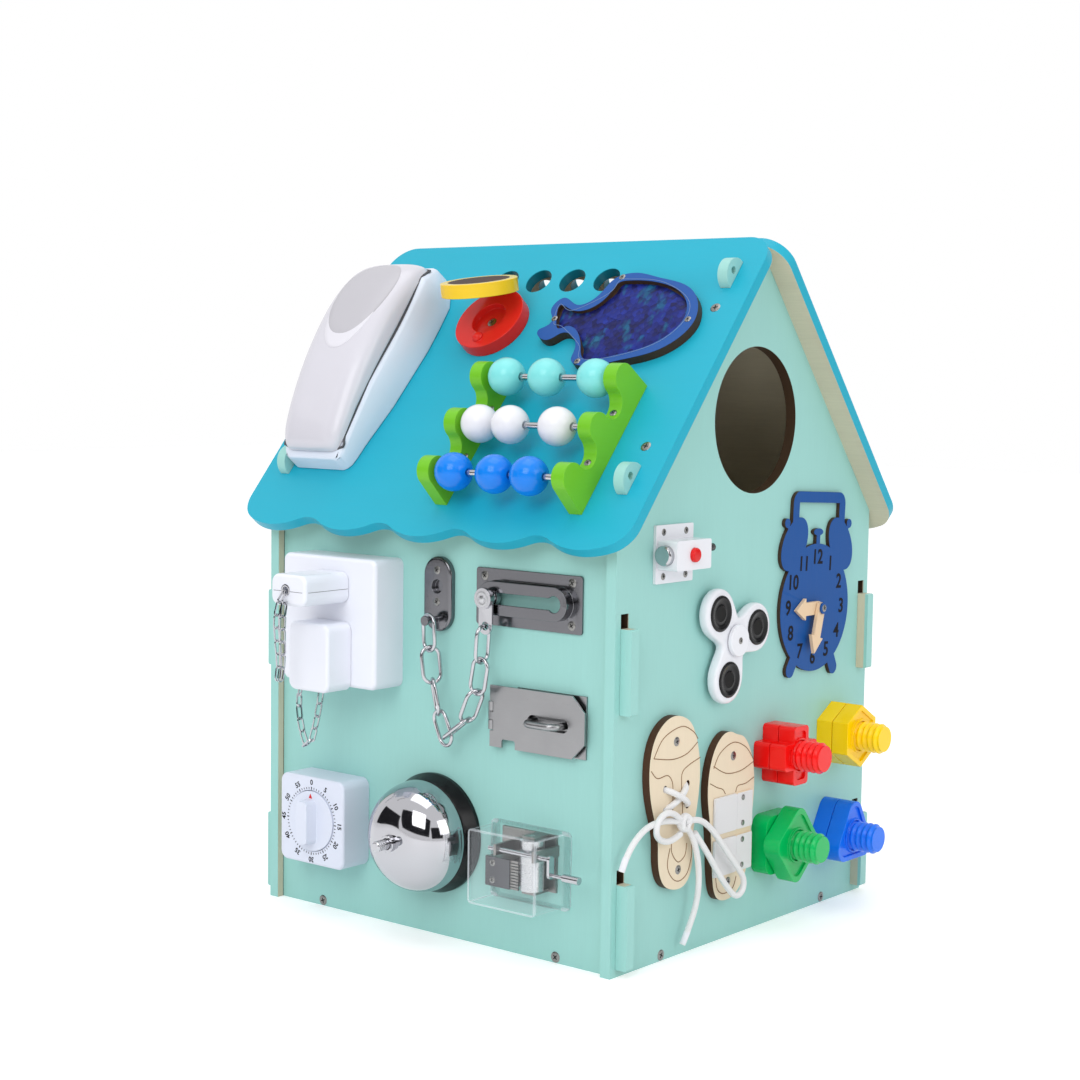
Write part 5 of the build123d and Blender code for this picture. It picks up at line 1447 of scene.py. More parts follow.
@dataclass
class Plugs(SubAssembly):
    """The wall socket, its two plugs and the small chains that tether them."""

    eyelet_place: Triple = (-71.5, 227.3, 67.0)
    eyelet: Points = ((2.5, -0.5), (2.5, 0.35), (3.1, 0.55), (3.9, 0.35), (3.9, -0.2))
    seam_place: Point2 = (-69.5, 226.6)
    seam: Points = ((-16.0, 28), (-16.0, 64), (-15.1, 66.1), (-13.0, 67))
    seam_radius: float = 0.16

    def build(self) -> None:
        """Finish the socket, the plugs and the chains, and make the eyelet and the plug's seam."""
        soften("socket_box", SOCKET_WHITE, 0.4)
        for name in ("two", "three"):
            soften(f"plug_{name}_pin", SOCKET_WHITE, 0.8, f"plug_{name}")
        for name, chain in (("two", "upper"), ("three", "lower")):
            soften(f"plug_chain_{chain}", CHROME, 0.3, f"plug_{name}", 50)
        eyelet = Form().ring(seat_on(Wall.FRONT, *self.eyelet_place), self.eyelet, 32)
        eyelet.piece("plug_eyelet", CHROME, "plug_two")
        middle = seat_on(Wall.FRONT, *self.seam_place)
        whole = [*self.seam, *((-x, lift) for x, lift in reversed(self.seam))]
        line = [middle.point(x, 0, lift) for x, lift in whole]
        Form().tube(line, self.seam_radius, sides=6).piece("plug_seam", SEAM_GREY, "plug_two")


@dataclass
class DoorChain(SubAssembly):
    """The door chain: keeper, slot plate, slider and two hanging strands."""

    length: float = 26.0
    width: float = 14.5
    wire: float = 2.6
    # Each strand's side, start, height off the wall, leans, twists and direction.
    strands: tuple = (("left", (3.9, 213.15), 12.5, (4, 8, 14, 24), (12, -60, 41, 8), 1),
                      ("right", (52.0, 210.2), 13.6, (4, 10, 23.5, 53), (-90, 0, -75, 78), -1))
    rivet_place: Point2 = (51.6, 227.6)
    rivet_ring: Points = ((3.1, -0.1), (3.1, 0.12), (4.0, 0.2), (4.9, 0.12), (4.9, -0.1))
    rivet_head: Points = ((2.1, -0.1), (2.1, 0.3), (1.2, 0.55), (0, 0.6))
    keeper_screws: Points = ((3.9, 241.6), (3.9, 221.0))
    keeper_head: Point2 = (4.5, 5.5)
    guide_screws: Points = ((42.4, 240.9), (113.3, 241.3), (113.3, 214.8), (42.4, 214.3))
    guide_head: Point2 = (1.6, 6.0)

    def link(self, form: Form, start: Vector, along: Vector, normal: Vector) -> None:
        """Add one link.

        Args:
            form: The form that takes it.
            start: The middle of the wire at its first end.
            along: The direction of its length.
            normal: Roughly the direction that its flat side faces.
        """
        normal = (normal - along * normal.dot(along)).normalized()
        across = along.cross(normal)
        radius = (self.width - self.wire) / 2
        last = self.length - self.wire - radius
        points = []
        for base, begin in ((last, 0.0), (radius, math.pi)):
            for i in range(11):
                t = begin + math.pi * i / 10
                points.append(start + across * radius * math.cos(t) + along * (base + radius * math.sin(t)))
        form.tube(points, self.wire / 2, closed=True)

    def strand(self, start: Point2, lift: float, leans: Sequence[float], twists: Sequence[float],
               side: int) -> Form:
        """Hang the links of one strand.

        Args:
            start: X and Z of its first end.
            lift: Distance off the wall.
            leans: Each link's lean from upright, in degrees.
            twists: Each link's twist, in degrees.
            side: 1 where the strand leans to the right, and -1 to the left.

        Returns:
            The links.
        """
        form = Form()
        x, z = start
        for i, (lean, twist) in enumerate(zip(leans, twists)):
            a, t = math.radians(lean), math.radians(twist)
            along = Vector((side * math.sin(a), 0, -math.cos(a)))
            normal = Vector((0, -math.cos(t), 0)) + along.cross(AXIS_Y) * -math.sin(t)
            self.link(form, Vector((x, -WALL - lift, z)), along, normal)
            following = leans[min(i + 1, len(leans) - 1)]
            turn = math.radians((lean + following) / 2)
            reach = self.length - self.wire
            x += side * (reach * math.sin(a) - self.wire * math.sin(turn))
            z -= reach * math.cos(a) - self.wire * math.cos(turn)
        return form

    def build(self) -> None:
        """Finish the plates and the slider, and make the rivet, the strands and the screws."""
        soften("door_chain_plates", DARK_NICKEL, 0.35)
        soften("chain_slider", CHROME, 0.3, "slider")
        front = (-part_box("chain_slider")[0][1] / MM) - WALL
        rivet = seat_on(Wall.FRONT, *self.rivet_place, front)
        head = Form().ring(rivet, self.rivet_ring, 32).lathe(rivet, self.rivet_head, 24)
        head.piece("slider_rivet", SATIN_STEEL, "slider")
        for side, start, lift, leans, twists, sign in self.strands:
            strand = self.strand(start, lift, leans, twists, sign)
            strand.piece(f"{side}_strand", CHROME, f"chain_{side}", [f"door_chain_{side}"])
        lift, diameter = self.keeper_head
        heads = [ScrewHead(seat_on(Wall.FRONT, x, z, lift), diameter) for x, z in self.keeper_screws]
        lift, diameter = self.guide_head
        heads += [ScrewHead(seat_on(Wall.FRONT, x, z, lift), diameter, 12.0 + x)
                  for x, z in self.guide_screws]
        screw_group("door_chain_screw", heads)


@dataclass
class Hasp(SubAssembly):
    """The hasp's hinged leaf over its staple."""

    def build(self) -> None:
        """Finish both leaves."""
        soften("hasp_base", HASP_ZINC, 0.2, smooth=45)
        soften("hasp_leaf", HASP_ZINC, 0.25, "leaf")


@dataclass
class Timer(SubAssembly):
    """The kitchen timer with its minute scale."""

    seat: Seat = seat_on(Wall.FRONT, -89.6, 65.6, 25.0)
    minute_angle: float = 6.0
    tick: Point2 = (0.5, 1.3)
    long_tick: Point2 = (0.7, 1.9)
    tick_radius: float = 22.4
    numeral_radius: float = 26.3
    numeral_size: float = 4.9
    ink: float = 0.08
    boldness: float = 0.025
    pointer: Points = ((-1.7, -1.7), (1.7, -1.7), (0, 1.7))
    pointer_radius: float = 17.2
    dial_lift: float = 1.02

    def build(self) -> None:
        """Finish the case and the dial, and make the scale and the pointer."""
        soften("timer_case", TIMER_WHITE, 0.5)
        soften("timer_dial", TIMER_WHITE, 0.6, "dial")
        marks = Form()
        for minute in range(60):
            spot = self.seat.turned(-self.minute_angle * minute)
            numbered = minute % 5 == 0
            tick = rounded_box(*(self.long_tick if numbered else self.tick), 0.1, 1)
            marks.slab(spot.moved(0, self.tick_radius), tick, self.ink)
            if numbered:
                place = spot.moved(0, self.numeral_radius)
                marks.text(place, str(minute), self.numeral_size, self.ink, self.boldness)
        marks.piece("timer_scale", INK)
        pointer = Form().slab(self.seat.moved(0, self.pointer_radius, self.dial_lift), self.pointer, 0.1)
        pointer.piece("timer_pointer", RED_INK, "dial")


@dataclass
class Bell(SubAssembly):
    """The desk bell."""

    seat: Seat = seat_on(Wall.FRONT, 1.0, 68.0)
    rim: float = 14.5
    rim_edge: Points = ((35.0, -1.0), (36.2, -1.3), (36.6, 0.0), (36.4, 0.9))
    inner_edge: Point2 = (35.0, 0.4)
    # Each face's radius at the crown, how much wider it is at the rim, and its rise.
    outer: Triple = (5.5, 30.8, 28.4)
    inner: Triple = (5.0, 29.6, 27.2)
    spring: float = 0.9
    fullness: float = 0.92
    collar: Points = ((5.5, 44.0), (5.5, 47.0), (5.1, 47.5), (3.9, 47.5), (3.65, 47.0),
                      (3.65, 42.6), (6.0, 42.4))

    def face(self, shape: Triple, steps: int) -> list[Point2]:
        """Work out a face of the dome from its rim to its crown.

        Args:
            shape: The face's sizes.
            steps: Stretches between its points.

        Returns:
            Its points of (radius, lift), without the two ends.
        """
        crown, width, rise = shape
        base = self.rim + self.spring
        return [(crown + width * math.cos(t) ** self.fullness, base + rise * math.sin(t))
                for t in (math.pi / 2 * i / steps for i in range(1, steps))]

    def build(self) -> None:
        """Finish the base and the plunger, and make the thin dome with its collar."""
        soften("bell_base", BLACK_GLOSS, 0.5)
        profile = [(radius, self.rim + rise) for radius, rise in self.rim_edge]
        profile += [*self.face(self.outer, 44), *self.collar, *reversed(self.face(self.inner, 11))]
        profile.append((self.inner_edge[0], self.rim + self.inner_edge[1]))
        dome = Form().ring(self.seat, profile, 144)
        dome.piece("dome_shell", MIRROR, stands_for=["bell_dome"], smooth=35)
        soften("bell_plunger", CHROME, 0.3, "plunger")


@dataclass
class MusicBox(SubAssembly):
    """The hand-cranked movement under its clear cover."""

    drum: Triple = (93.0, -WALL - 12.0, 56.0)
    drum_radius: float = 7.5
    pin: float = 0.35
    pin_length: float = 0.6
    pin_rows: int = 13
    pin_places: int = 24
    row_turn: float = 5.0
    first_row: float = 1.2
    row_pitch: float = 1.25
    comb: Triple = (70.0, 56.0, 18.05)
    comb_size: Point2 = (20.0, 19.0)
    comb_thickness: float = 0.7
    comb_screw_x: float = 66.0
    comb_screw_reach: float = 5.5
    comb_screw_head: float = 4.4

    def pins(self) -> Form:
        """Stud the drum with pins, with a third of the places left out.

        Returns:
            The pins.
        """
        form = Form()
        outline = rounded_box(self.pin, self.pin, 0.1, 1)
        for row in range(self.pin_rows):
            for place in range(self.pin_places):
                if (row * 7 + place * 5) % 3 == 0:
                    continue
                t = math.radians(360 / self.pin_places * place + row * self.row_turn)
                out = Vector((*polar(1.0, t), 0))
                rise = AXIS_Z * (self.first_row + row * self.row_pitch)
                foot = Vector(self.drum) + out * (self.drum_radius - 0.1) + rise
                form.slab(Seat(foot, AXIS_Z.cross(out), AXIS_Z), outline, self.pin_length)
        return form

    def build(self) -> None:
        """Finish the cover, the movement, the drum and the crank, and make the pins and the comb."""
        soften("music_box_cover", CLEAR_COVER, 0.5)
        paint("music_movement", GUNMETAL)
        paint("music_drum", SATIN_STEEL)
        soften("music_crank", CHROME, 0.3, "crank")
        self.pins().piece("drum_pins", CHROME, "drum")
        _, comb_z, comb_lift = self.comb
        comb = Form().slab(seat_on(Wall.FRONT, *self.comb), rounded_box(*self.comb_size, 0.6, 2),
                           self.comb_thickness, 0.2)
        comb.piece("comb_plate", COMB_STEEL)
        screw_group("comb_screw", [
            ScrewHead(seat_on(Wall.FRONT, self.comb_screw_x, comb_z + z, comb_lift + self.comb_thickness),
                      self.comb_screw_head, 20 + z) for z in (-self.comb_screw_reach, self.comb_screw_reach)])


@dataclass
class Latch(SubAssembly):
    """The push latch with its red button."""

    seat: Seat = seat_on(Wall.GABLE, -92.5, 259.2, 2.0)
    screw_shift: Point2 = (12.0, 13.8)
    screw_head: float = 4.5
    nub_place: Triple = (-74.3, 262.5, 13.5)
    nub: Points = ((2.5, 0.0), (2.5, 6.6), (2.0, 7.4), (0, 7.5))

    def build(self) -> None:
        """Finish the housing, the bolt and the button, and make the screws and the nub."""
        soften("latch_housing", LATCH_WHITE, 0.6)
        soften("latch_bolt", CHROME, 0.3, "bolt")
        soften("latch_button", BUTTON_RED, 0.4, "button")
        dx, dz = self.screw_shift
        screw_group("latch_screw", [ScrewHead(self.seat.moved(x, z), self.screw_head, 30 + x + z)
                                    for x in (-dx, dx) for z in (-dz, dz)])
        nub = seat_on(Wall.GABLE, *self.nub_place)
        Form().lathe(nub.facing(nub.up, nub.out), self.nub, 24).piece("latch_nub", BLACK_GLOSS)


@dataclass
class Spinner(SubAssembly):
    """The three-armed spinner with black rings."""

    centre: Seat = seat_on(Wall.GABLE, -32.5, 199.5)
    arm: float = 26.0
    first: float = 14.0
    standoff: float = 2.5
    thickness: float = 7.0
    lobe: float = 16.0
    middle: float = 15.0
    outline_points: int = 240
    web_rounds: int = 60
    # How far in the body's edge lies at each height.
    edge: Points = ((3.0, 0.0), (1.2, 0.35), (0.35, 1.2), (0.0, 2.6), (0.0, 4.4), (0.35, 5.8),
                    (1.2, 6.65), (3.0, 7.0), (5.0, 7.0))
    ring: Points = ((4.8, -0.2), (5.3, 0.35), (6.2, 0.15), (8.4, 0.2), (9.4, 0.9), (11.0, 1.0),
                    (11.7, 0.5), (11.8, -0.3))
    # The dark disc of painted shade in each ring's well, as (radius, lift).
    well: Points = ((5.0, -0.3), (5.0, 0.05), (0, 0.05))
    screw_lift: float = 13.05
    screw_head: float = 4.4

    def arm_angles(self) -> list[float]:
        """Returns: The directions of the three arms."""
        return [math.radians(self.first + 120 * k) for k in range(3)]

    def reach(self) -> list[float]:
        """Work out the body's outline, its hollows between the lobes filled in softly.

        Returns:
            Its radius all round, at even angles.
        """
        count = self.outline_points
        radii = []
        for t in around(count):
            reach = self.middle
            for arm in self.arm_angles():
                away = t - arm
                side = self.arm * math.sin(away)
                if abs(side) < self.lobe and math.cos(away) > 0:
                    reach = max(reach, self.arm * math.cos(away) + math.sqrt(self.lobe ** 2 - side ** 2))
            radii.append(reach)
        lobes = list(radii)
        for _ in range(self.web_rounds):
            radii = [max(lobes[i], (radii[i - 1] + radii[i] + radii[(i + 1) % count]) / 3)
                     for i in range(count)]
        return radii

    def build(self) -> None:
        """Make the body, its rings, their wells of painted shade and the screw, and finish the cap."""
        radii = self.reach()
        body = [[self.centre.point(*polar(radius - inset, t), self.standoff + lift)
                 for radius, t in zip(radii, around(len(radii)))] for inset, lift in self.edge]
        Form().loft(body).piece("spinner_body_soft", SPINNER_WHITE, "spinner", ["spinner_body"], 60)
        soften("spinner_cap", SPINNER_WHITE, 0.9)
        rings, wells = Form(), Form()
        top = self.standoff + self.thickness
        for t in self.arm_angles():
            spot = self.centre.moved(*polar(self.arm, t))
            rings.ring(spot, [(radius, top + lift) for radius, lift in self.ring], 64)
            # A dark disc of painted shade fills each ring's well.
            wells.lathe(spot.moved(lift=top), self.well, 32)
        rings.piece("spinner_rings", BLACK_GLOSS, "spinner", smooth=50)
        wells.piece("spinner_well_shade", RECESS_SHADE, "spinner")
        screw_group("spinner_screw", [ScrewHead(self.centre.moved(lift=self.screw_lift), self.screw_head)])


@dataclass
class Clock(SubAssembly):
    """The alarm-clock board with its two hands."""

    seat: Seat = seat_on(Wall.GABLE, 74.3, 211.5, 3.0).turned(-3.0)
    numeral_radius: float = 34.5
    numeral_size: float = 14.0
    ink: float = 0.12
    boldness: float = 0.022
    screw_lift: float = 7.45
    screw_head: float = 5.0

    def build(self) -> None:
        """Finish the board and its hands, and make the numerals and the screw."""
        soften("clock_board", CLOCK_BLUE, 0.15, smooth=50)
        for hand in ("hour", "minute"):
            soften(f"{hand}_hand", HAND_BIRCH, 0.15, hand)
        numerals = Form()
        for hour in range(1, 13):
            spot = self.seat.moved(*polar(self.numeral_radius, math.radians(90 - 30 * hour)))
            numerals.text(spot, str(hour), self.numeral_size, self.ink, self.boldness)
        numerals.piece("clock_numerals", INK)
        screw_group("clock_screw", [ScrewHead(self.seat.moved(lift=self.screw_lift), self.screw_head)])


class LacePath(Enum):
    """The four free ends and loops of the tied lace, as (y, z, height over the gable)."""

    LONG_END = ((-90, 90, 11), (-101, 92.5, 10.5), (-114, 94, 10), (-127, 92.5, 9.5), (-138, 86.5, 9),
                (-145, 77, 7.5), (-148.5, 68, 6.5))
    SMALL_LOOP = ((-90, 90, 11), (-100.5, 97, 12.5), (-112, 100, 13), (-120, 95.5, 12.5), (-121, 87, 12),
                  (-113.5, 81.5, 11), (-102.5, 79.5, 11), (-93, 83, 11))
    BIG_LOOP = ((-90, 90, 12), (-79, 91, 13), (-66, 84.5, 13.5), (-54.5, 73, 14.5), (-43.5, 61, 15),
                (-32.5, 50.5, 15), (-25, 42, 15), (-26, 33.5, 14.5), (-34.5, 31.5, 14.5), (-43.5, 39.5, 14),
                (-55.5, 53, 13.5), (-67.5, 68.5, 13), (-79, 81.5, 12))
    HANGING_END = ((-90, 90, 10), (-81, 81.5, 11), (-75, 68, 11.5), (-72, 52, 11.5), (-71.5, 36, 10),
                   (-75, 21, 7.5), (-81.5, 8.5, 6))


@dataclass
class Shoes(SubAssembly):
    """The two shoe boards with their engraved lines, the lace and the straps."""

    face: float = 6.0
    lace_radius: float = 2.0
    holes: Points = ((-103.2, 112.0), (-78.8, 112.0), (-103.2, 98.3), (-78.8, 98.3))
    lines: tuple = (
        ((-116.2, 133.2), (-106.2, 144.7), (-87.1, 149.7), (-74.2, 145.0), (-68.7, 139.6)),
        ((-116.2, 133.2), (-96.1, 130.0), (-80.6, 131.5), (-69.0, 137.4)),
        ((-118.8, 125.7), (-112.1, 120.2), (-101.6, 120.6), (-96.7, 116.8), (-95.1, 110.9), (-95.1, 99.5),
         (-94.6, 93.7)),
        ((-65.6, 127.1), (-78.4, 123.8), (-85.1, 120.2), (-85.9, 112.9), (-84.4, 97.8), (-84.2, 92.0)),
        ((-97.2, 73.6), (-99.7, 62.7), (-94.6, 54.3), (-86.7, 50.7), (-78.0, 54.1), (-73.4, 64.8),
         (-73.7, 72.9)),
        ((-95.4, 77.9), (-95.1, 70.4), (-88.1, 63.2), (-80.7, 66.3), (-79.0, 73.9)),
        ((-50.1, 117.4), (-43.3, 126.3), (-28.0, 131.6), (-13.0, 126.6), (-3.6, 117.2)),
        ((-50.2, 118.9), (-35.5, 112.3), (-18.8, 111.6), (-4.0, 115.4)),
        ((-54.0, 108.2), (-45.6, 104.4), (-39.3, 102.3), (-36.1, 98.8)),
        ((-2.5, 105.0), (-12.0, 102.3), (-21.6, 101.9), (-23.9, 98.1)),
        ((-45.4, 45.6), (-43.0, 36.9), (-35.6, 32.7), (-25.2, 34.7), (-21.3, 41.7)))
    line_radius: float = 0.3
    # Which holes each crossing of the lace joins, and how high it stands at its middle.
    crossings: tuple = ((1, 2, 8.8), (0, 3, 11.4))
    hole_depth: float = 3.0
    crossing_steps: int = 8
    knot: Triple = (-89.6, 89.6, 11.2)
    knot_radius: float = 1.9
    knot_wave: float = 1.1
    # Each turn of the knot: its tilt, half width, half height and lift.
    knot_turns: tuple = ((20.0, 4.6, 3.4, 0.0), (-35.0, 3.6, 4.4, 0.8), (80.0, 4.4, 3.0, 0.5))
    tip: Points = ((2.05, 0.0), (2.12, 0.3), (2.12, 8.3), (1.8, 8.9), (0, 9.0))
    screws: Points = ((-92.1, 140.8), (-87.9, 58.2), (-27.6, 122.7), (-31.1, 39.9))
    screw_head: float = 6.0
    straps: tuple = ((85.5, "upper"), (57.5, "lower"))
    flap: Point2 = (25.5, 24.0)
    flap_thickness: float = 1.6
    flap_place: Point2 = (-36.95, 6.35)
    sewn: Point2 = (18.0, 24.0)
    sewn_place: Point2 = (-15.0, 7.6)
    rivet: Points = ((1.9, 0), (1.9, 0.3), (1.2, 0.6), (0, 0.65))
    rivet_place: Point2 = (-17.5, 7.7)
    rivet_reach: float = 8.5

    def engrave(self) -> None:
        """Draw the burnt lines a hair over the boards."""
        form = Form()
        for line in self.lines:
            points = [seat_on(Wall.GABLE, y, z, self.face + 0.02).origin for y, z in line]
            form.tube(smooth_line(points, 6), self.line_radius, sides=6)
        form.piece("shoe_lines", BURNT_LINE)

    def crossing(self) -> Form:
        """Lay the two stretches of lace that cross between the holes.

        Returns:
            The two stretches.
        """
        form = Form()
        for first, last, top in self.crossings:
            (y, z), (far_y, far_z) = self.holes[first], self.holes[last]
            points = []
            for i in range(self.crossing_steps + 1):
                t = i / self.crossing_steps
                lift = self.hole_depth + (top - self.hole_depth) * math.sin(math.pi * t) ** 0.5
                points.append(seat_on(Wall.GABLE, y + (far_y - y) * t, z + (far_z - z) * t, lift).origin)
            form.tube(smooth_line(points, 3), self.lace_radius, sides=14)
        return form

    def lace(self) -> None:
        """Tie the lace: the crossing between the holes, the knot and the four free parts."""
        self.crossing().piece("lace_crossing", LACE_WHITE)
        knot = Form()
        for tilt, wide, tall, lift in self.knot_turns:
            spot = seat_on(Wall.GABLE, *self.knot).turned(tilt)
            turn = []
            for t in around(28):
                wave = self.knot_wave * math.sin(2 * t)
                turn.append(spot.point(wide * math.cos(t), tall * math.sin(t), lift + wave))
            knot.tube(turn, self.knot_radius, True, 14)
        tied = knot.piece("lace_knot", LACE_WHITE, stands_for=["shoelace"])
        for path in LacePath:
            self.strand(path, tied)

    def strand(self, path: LacePath, knot: bpy.types.Object) -> None:
        """Lay one free part of the lace along its route.

        Args:
            path: The route.
            knot: The knot that it leaves; not used.
        """
        name = "lace_" + path.name.lower()
        curve = bpy.data.curves.new(name, "CURVE")
        curve.dimensions = "3D"
        spline = curve.splines.new("NURBS")
        spline.points.add(len(path.value) - 1)
        for point, (y, z, lift) in zip(spline.points, path.value):
            point.co = (*(seat_on(Wall.GABLE, y, z, lift).origin * MM), 1.0)
        spline.order_u = 3
        spline.use_endpoint_u = True
        spline.resolution_u = 10
        curve.bevel_depth = self.lace_radius * MM
        curve.bevel_resolution = 5
        curve.use_fill_caps = True
        thing = bpy.data.objects.new(name, curve)
        bpy.context.scene.collection.objects.link(thing)
        curve.materials.append(Palette.get(LACE_WHITE))
        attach(thing, "house")
        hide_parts("shoelace")
        bare = bpy.data.meshes.new_from_object(self.unbevelled(curve))
        line = [v.co for v in bare.vertices]
        free = path in (LacePath.LONG_END, LacePath.HANGING_END)
        if free:
            self.aglet(name, line)

    @staticmethod
    def unbevelled(curve: bpy.types.Curve) -> bpy.types.Object:
        """Returns: An unlinked object of the curve's bare line."""
        bare = curve.copy()
        bare.bevel_depth = 0.0
        return bpy.data.objects.new("bare line", bare)

    def aglet(self, name: str, line: Sequence[Vector]) -> None:
        """Wrap a lace's end in a short stiff sleeve.

        Args:
            name: The lace part's name.
            line: Its middle line, in metres.
        """
        end = line[-1] / MM
        along = (line[-1] - line[-2]).normalized()
        side = along.orthogonal().normalized()
        seat = Seat(end - along * self.tip[-1][1], side, along.cross(side))
        Form().lathe(seat, self.tip, 20).piece(name + "_tip", LATCH_WHITE)

    def strap(self, height: float, name: str) -> None:
        """Lay a strap's flap and its sewn part, with rivets at its corners.

        Args:
            height: Height of its middle.
            name: Which strap it is.
        """
        y, lift = self.flap_place
        flap = Form().slab(seat_on(Wall.GABLE, y, height, lift), rounded_box(*self.flap, 1.2, 4),
                           self.flap_thickness, 0.3)
        piece = flap.piece(f"strap_{name}_cloth", STRAP_WHITE, f"flap_{name}", [f"strap_{name}"])
        y, lift = self.sewn_place
        sewn = Form().slab(seat_on(Wall.GABLE, y, height, lift), rounded_box(*self.sewn, 1.0, 4), 0.15, 0.1)
        sewn.piece(f"strap_{name}_sewn_part", STRAP_WHITE)
        rivets = Form()
        y, lift = self.rivet_place
        for dz in (-self.rivet_reach, self.rivet_reach):
            rivets.lathe(seat_on(Wall.GABLE, y, height + dz, lift), self.rivet, 20)
        rivets.piece(f"strap_{name}_rivets", SCREW_STEEL)

    def build(self) -> None:
        """Finish the boards, and make their lines, the lace, the straps and the screws."""
        soften("shoe_boards", SHOE_BIRCH, 0.2, smooth=50)
        self.engrave()
        self.lace()
        for height, name in self.straps:
            self.strap(height, name)
        screw_group("shoe_screw", [ScrewHead(seat_on(Wall.GABLE, y, z, self.face), self.screw_head, 15 + y)
                                   for y, z in self.screws])


@dataclass
class Bolts(SubAssembly):
    """The four plastic bolts and their nuts."""

    rounding: float = 1.1

    def build(self) -> None:
        """Finish the studs and the nuts."""
        soften("bolt_studs", BOLT_COLOURS, 0.9, smooth=40)
        for colour, finish in NUTS.items():
            soften(f"nut_{colour}", finish, self.rounding, f"nut_{colour}")


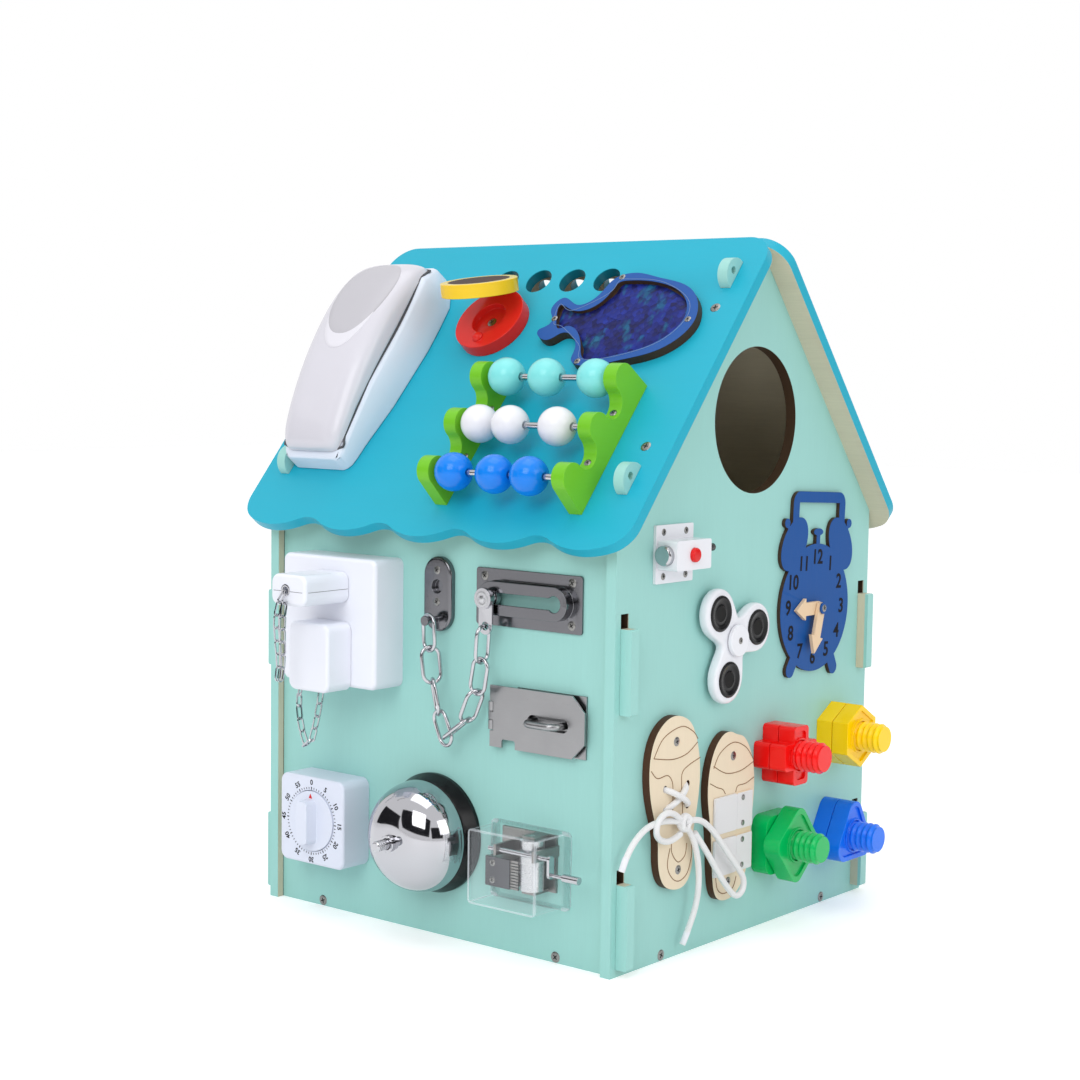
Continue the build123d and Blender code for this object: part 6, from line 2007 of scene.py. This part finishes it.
# --------------------------------------------------------------------------- studio
@dataclass
class Studio:
    """Floor, soft lights and the camera."""

    position: Triple = (884.52, -1129.69, 373.90)
    yaw: float = 0.6812
    pitch: float = 0.0847
    roll: float = 0.0138
    focal_pixels: float = 2040.13
    image: float = 1080.0
    sensor: float = 36.0
    reach: Point2 = (0.01, 20.0)
    ambient: float = 0.75
    glow: float = 0.3
    floor_size: float = 12.0
    # Each card's middle, width and height, in metres.
    card_places: tuple = (((-2.3, -2.0, 0.75), 2.4, 1.3), ((0.5, -3.0, 1.55), 4.2, 2.3),
                          ((2.6, -1.4, 0.8), 1.6, 1.1), ((1.9, 2.3, 0.6), 1.6, 1.0))
    card_aim: Triple = (0.0, 0.0, 0.25)
    # Each lamp's name, place, size and power.
    lamps: tuple = (("key", (0.6, -2.2, 1.6), 1.4, 22.0), ("side", (2.3, -0.3, 1.1), 1.2, 9.0),
                    ("top", (0.0, -0.2, 2.4), 1.6, 11.0))
    lamp_aim: Triple = (0.0, 0.0, 0.2)

    def camera(self) -> None:
        """Set the camera where the house is seen over its front right corner."""
        level = math.cos(self.pitch)
        forward = Vector((-math.sin(self.yaw) * level, math.cos(self.yaw) * level, -math.sin(self.pitch)))
        right = Vector((math.cos(self.yaw), math.sin(self.yaw), 0))
        up = right.cross(forward)
        level_right = right * math.cos(self.roll) + up * math.sin(self.roll)
        level_up = up * math.cos(self.roll) - right * math.sin(self.roll)
        lens = bpy.data.cameras.new("camera")
        lens.sensor_width = self.sensor
        lens.lens = self.focal_pixels / self.image * self.sensor
        lens.clip_start, lens.clip_end = self.reach
        camera = bpy.data.objects.new("camera", lens)
        camera.matrix_world = Matrix.Translation(Vector(self.position) * MM) @ Matrix(
            (level_right, level_up, -forward)).transposed().to_4x4()
        bpy.context.scene.collection.objects.link(camera)
        bpy.context.scene.camera = camera

    def light(self, name: str, place: Triple, size: float, power: float) -> None:
        """Hang a square soft light that looks at the house.

        Args:
            name: Its name.
            place: Its middle, in metres.
            size: Its side in metres.
            power: Its power in watts.
        """
        lamp = bpy.data.lights.new(name, "AREA")
        lamp.size = size
        lamp.energy = power
        thing = bpy.data.objects.new(name, lamp)
        thing.location = place
        aim = Vector(self.lamp_aim) - Vector(place)
        thing.rotation_euler = aim.to_track_quat("-Z", "Y").to_euler()
        bpy.context.scene.collection.objects.link(thing)

    def sheet(self, name: str, place: Vector, facing: Vector, width: float, height: float,
              shader: Shader) -> bpy.types.Object:
        """Stand a flat sheet in the studio.

        Args:
            name: Its name.
            place: Its middle, in metres.
            facing: The direction that it faces.
            width: Its width in metres.
            height: Its height in metres.
            shader: Its shader.

        Returns:
            The sheet, marked as staging.
        """
        data = bpy.data.meshes.new(name)
        spots = [(x * width / 2, y * height / 2, 0) for x, y in ((-1, -1), (1, -1), (1, 1), (-1, 1))]
        data.from_pydata(spots, [], [(0, 1, 2, 3)])
        data.materials.append(shader.owner)
        thing = bpy.data.objects.new(name, data)
        thing.location = place
        thing.rotation_euler = facing.to_track_quat("Z", "Y").to_euler()
        bpy.context.scene.collection.objects.link(thing)
        return thing

    def floor(self) -> None:
        """Lay the pale floor, which looks white and keeps the house's shadow."""
        shader = Shader("pale floor", roughness=0.6, emission_strength=1.0)
        shader.wear(base_color=shader.mix(shader.noise(400.0), (0.90, 0.90, 0.91), (0.93, 0.93, 0.93)),
                    emission_color=shader.mix(shader.seen(), (0, 0, 0), (self.glow,) * 3))
        self.sheet("floor", Vector(), AXIS_Z, self.floor_size, self.floor_size, shader)

    def cards(self) -> None:
        """Stand dark cards where only metal and gloss see them, so that chrome has contrast."""
        shader = Shader("dark card", roughness=0.9, specular_ior_level=0.0)
        shader.wear(base_color=shader.mix(shader.noise(300.0), (0.02, 0.02, 0.022), (0.035, 0.035, 0.04)))
        aim = Vector(self.card_aim)
        for i, (place, width, height) in enumerate(self.card_places):
            spot = Vector(place)
            thing = self.sheet(f"dark_card_{i + 1}", spot, aim - spot, width, height, shader)
            thing.visible_camera = False
            thing.visible_diffuse = False
            thing.visible_shadow = False
            thing.visible_transmission = False

    def world(self) -> None:
        """Light the house from all round, with a white background behind it."""
        shader = Shader("studio", world=True, color=(1, 1, 1))
        shader.wear(strength=self.ambient + shader.seen() * (1.0 - self.ambient))
        bpy.context.scene.world = shader.owner

    def build(self) -> None:
        """Set up the studio."""
        bpy.context.scene.view_settings.view_transform = "Standard"
        self.camera()
        self.world()
        self.floor()
        self.cards()
        for lamp in self.lamps:
            self.light(*lamp)


def main() -> None:
    """Dress the house and set the studio."""
    logging.basicConfig(level=logging.INFO)
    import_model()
    Studio().build()
    for group in (Shoes, House, Phone, Castanet, Whale, Abacus, Plugs, DoorChain, Hasp, Timer, Bell, MusicBox,
                  Latch, Spinner, Clock, Bolts):
        LOG.info("building %s", group.__name__)
        group().build()


if __name__ == "__main__":
    main()
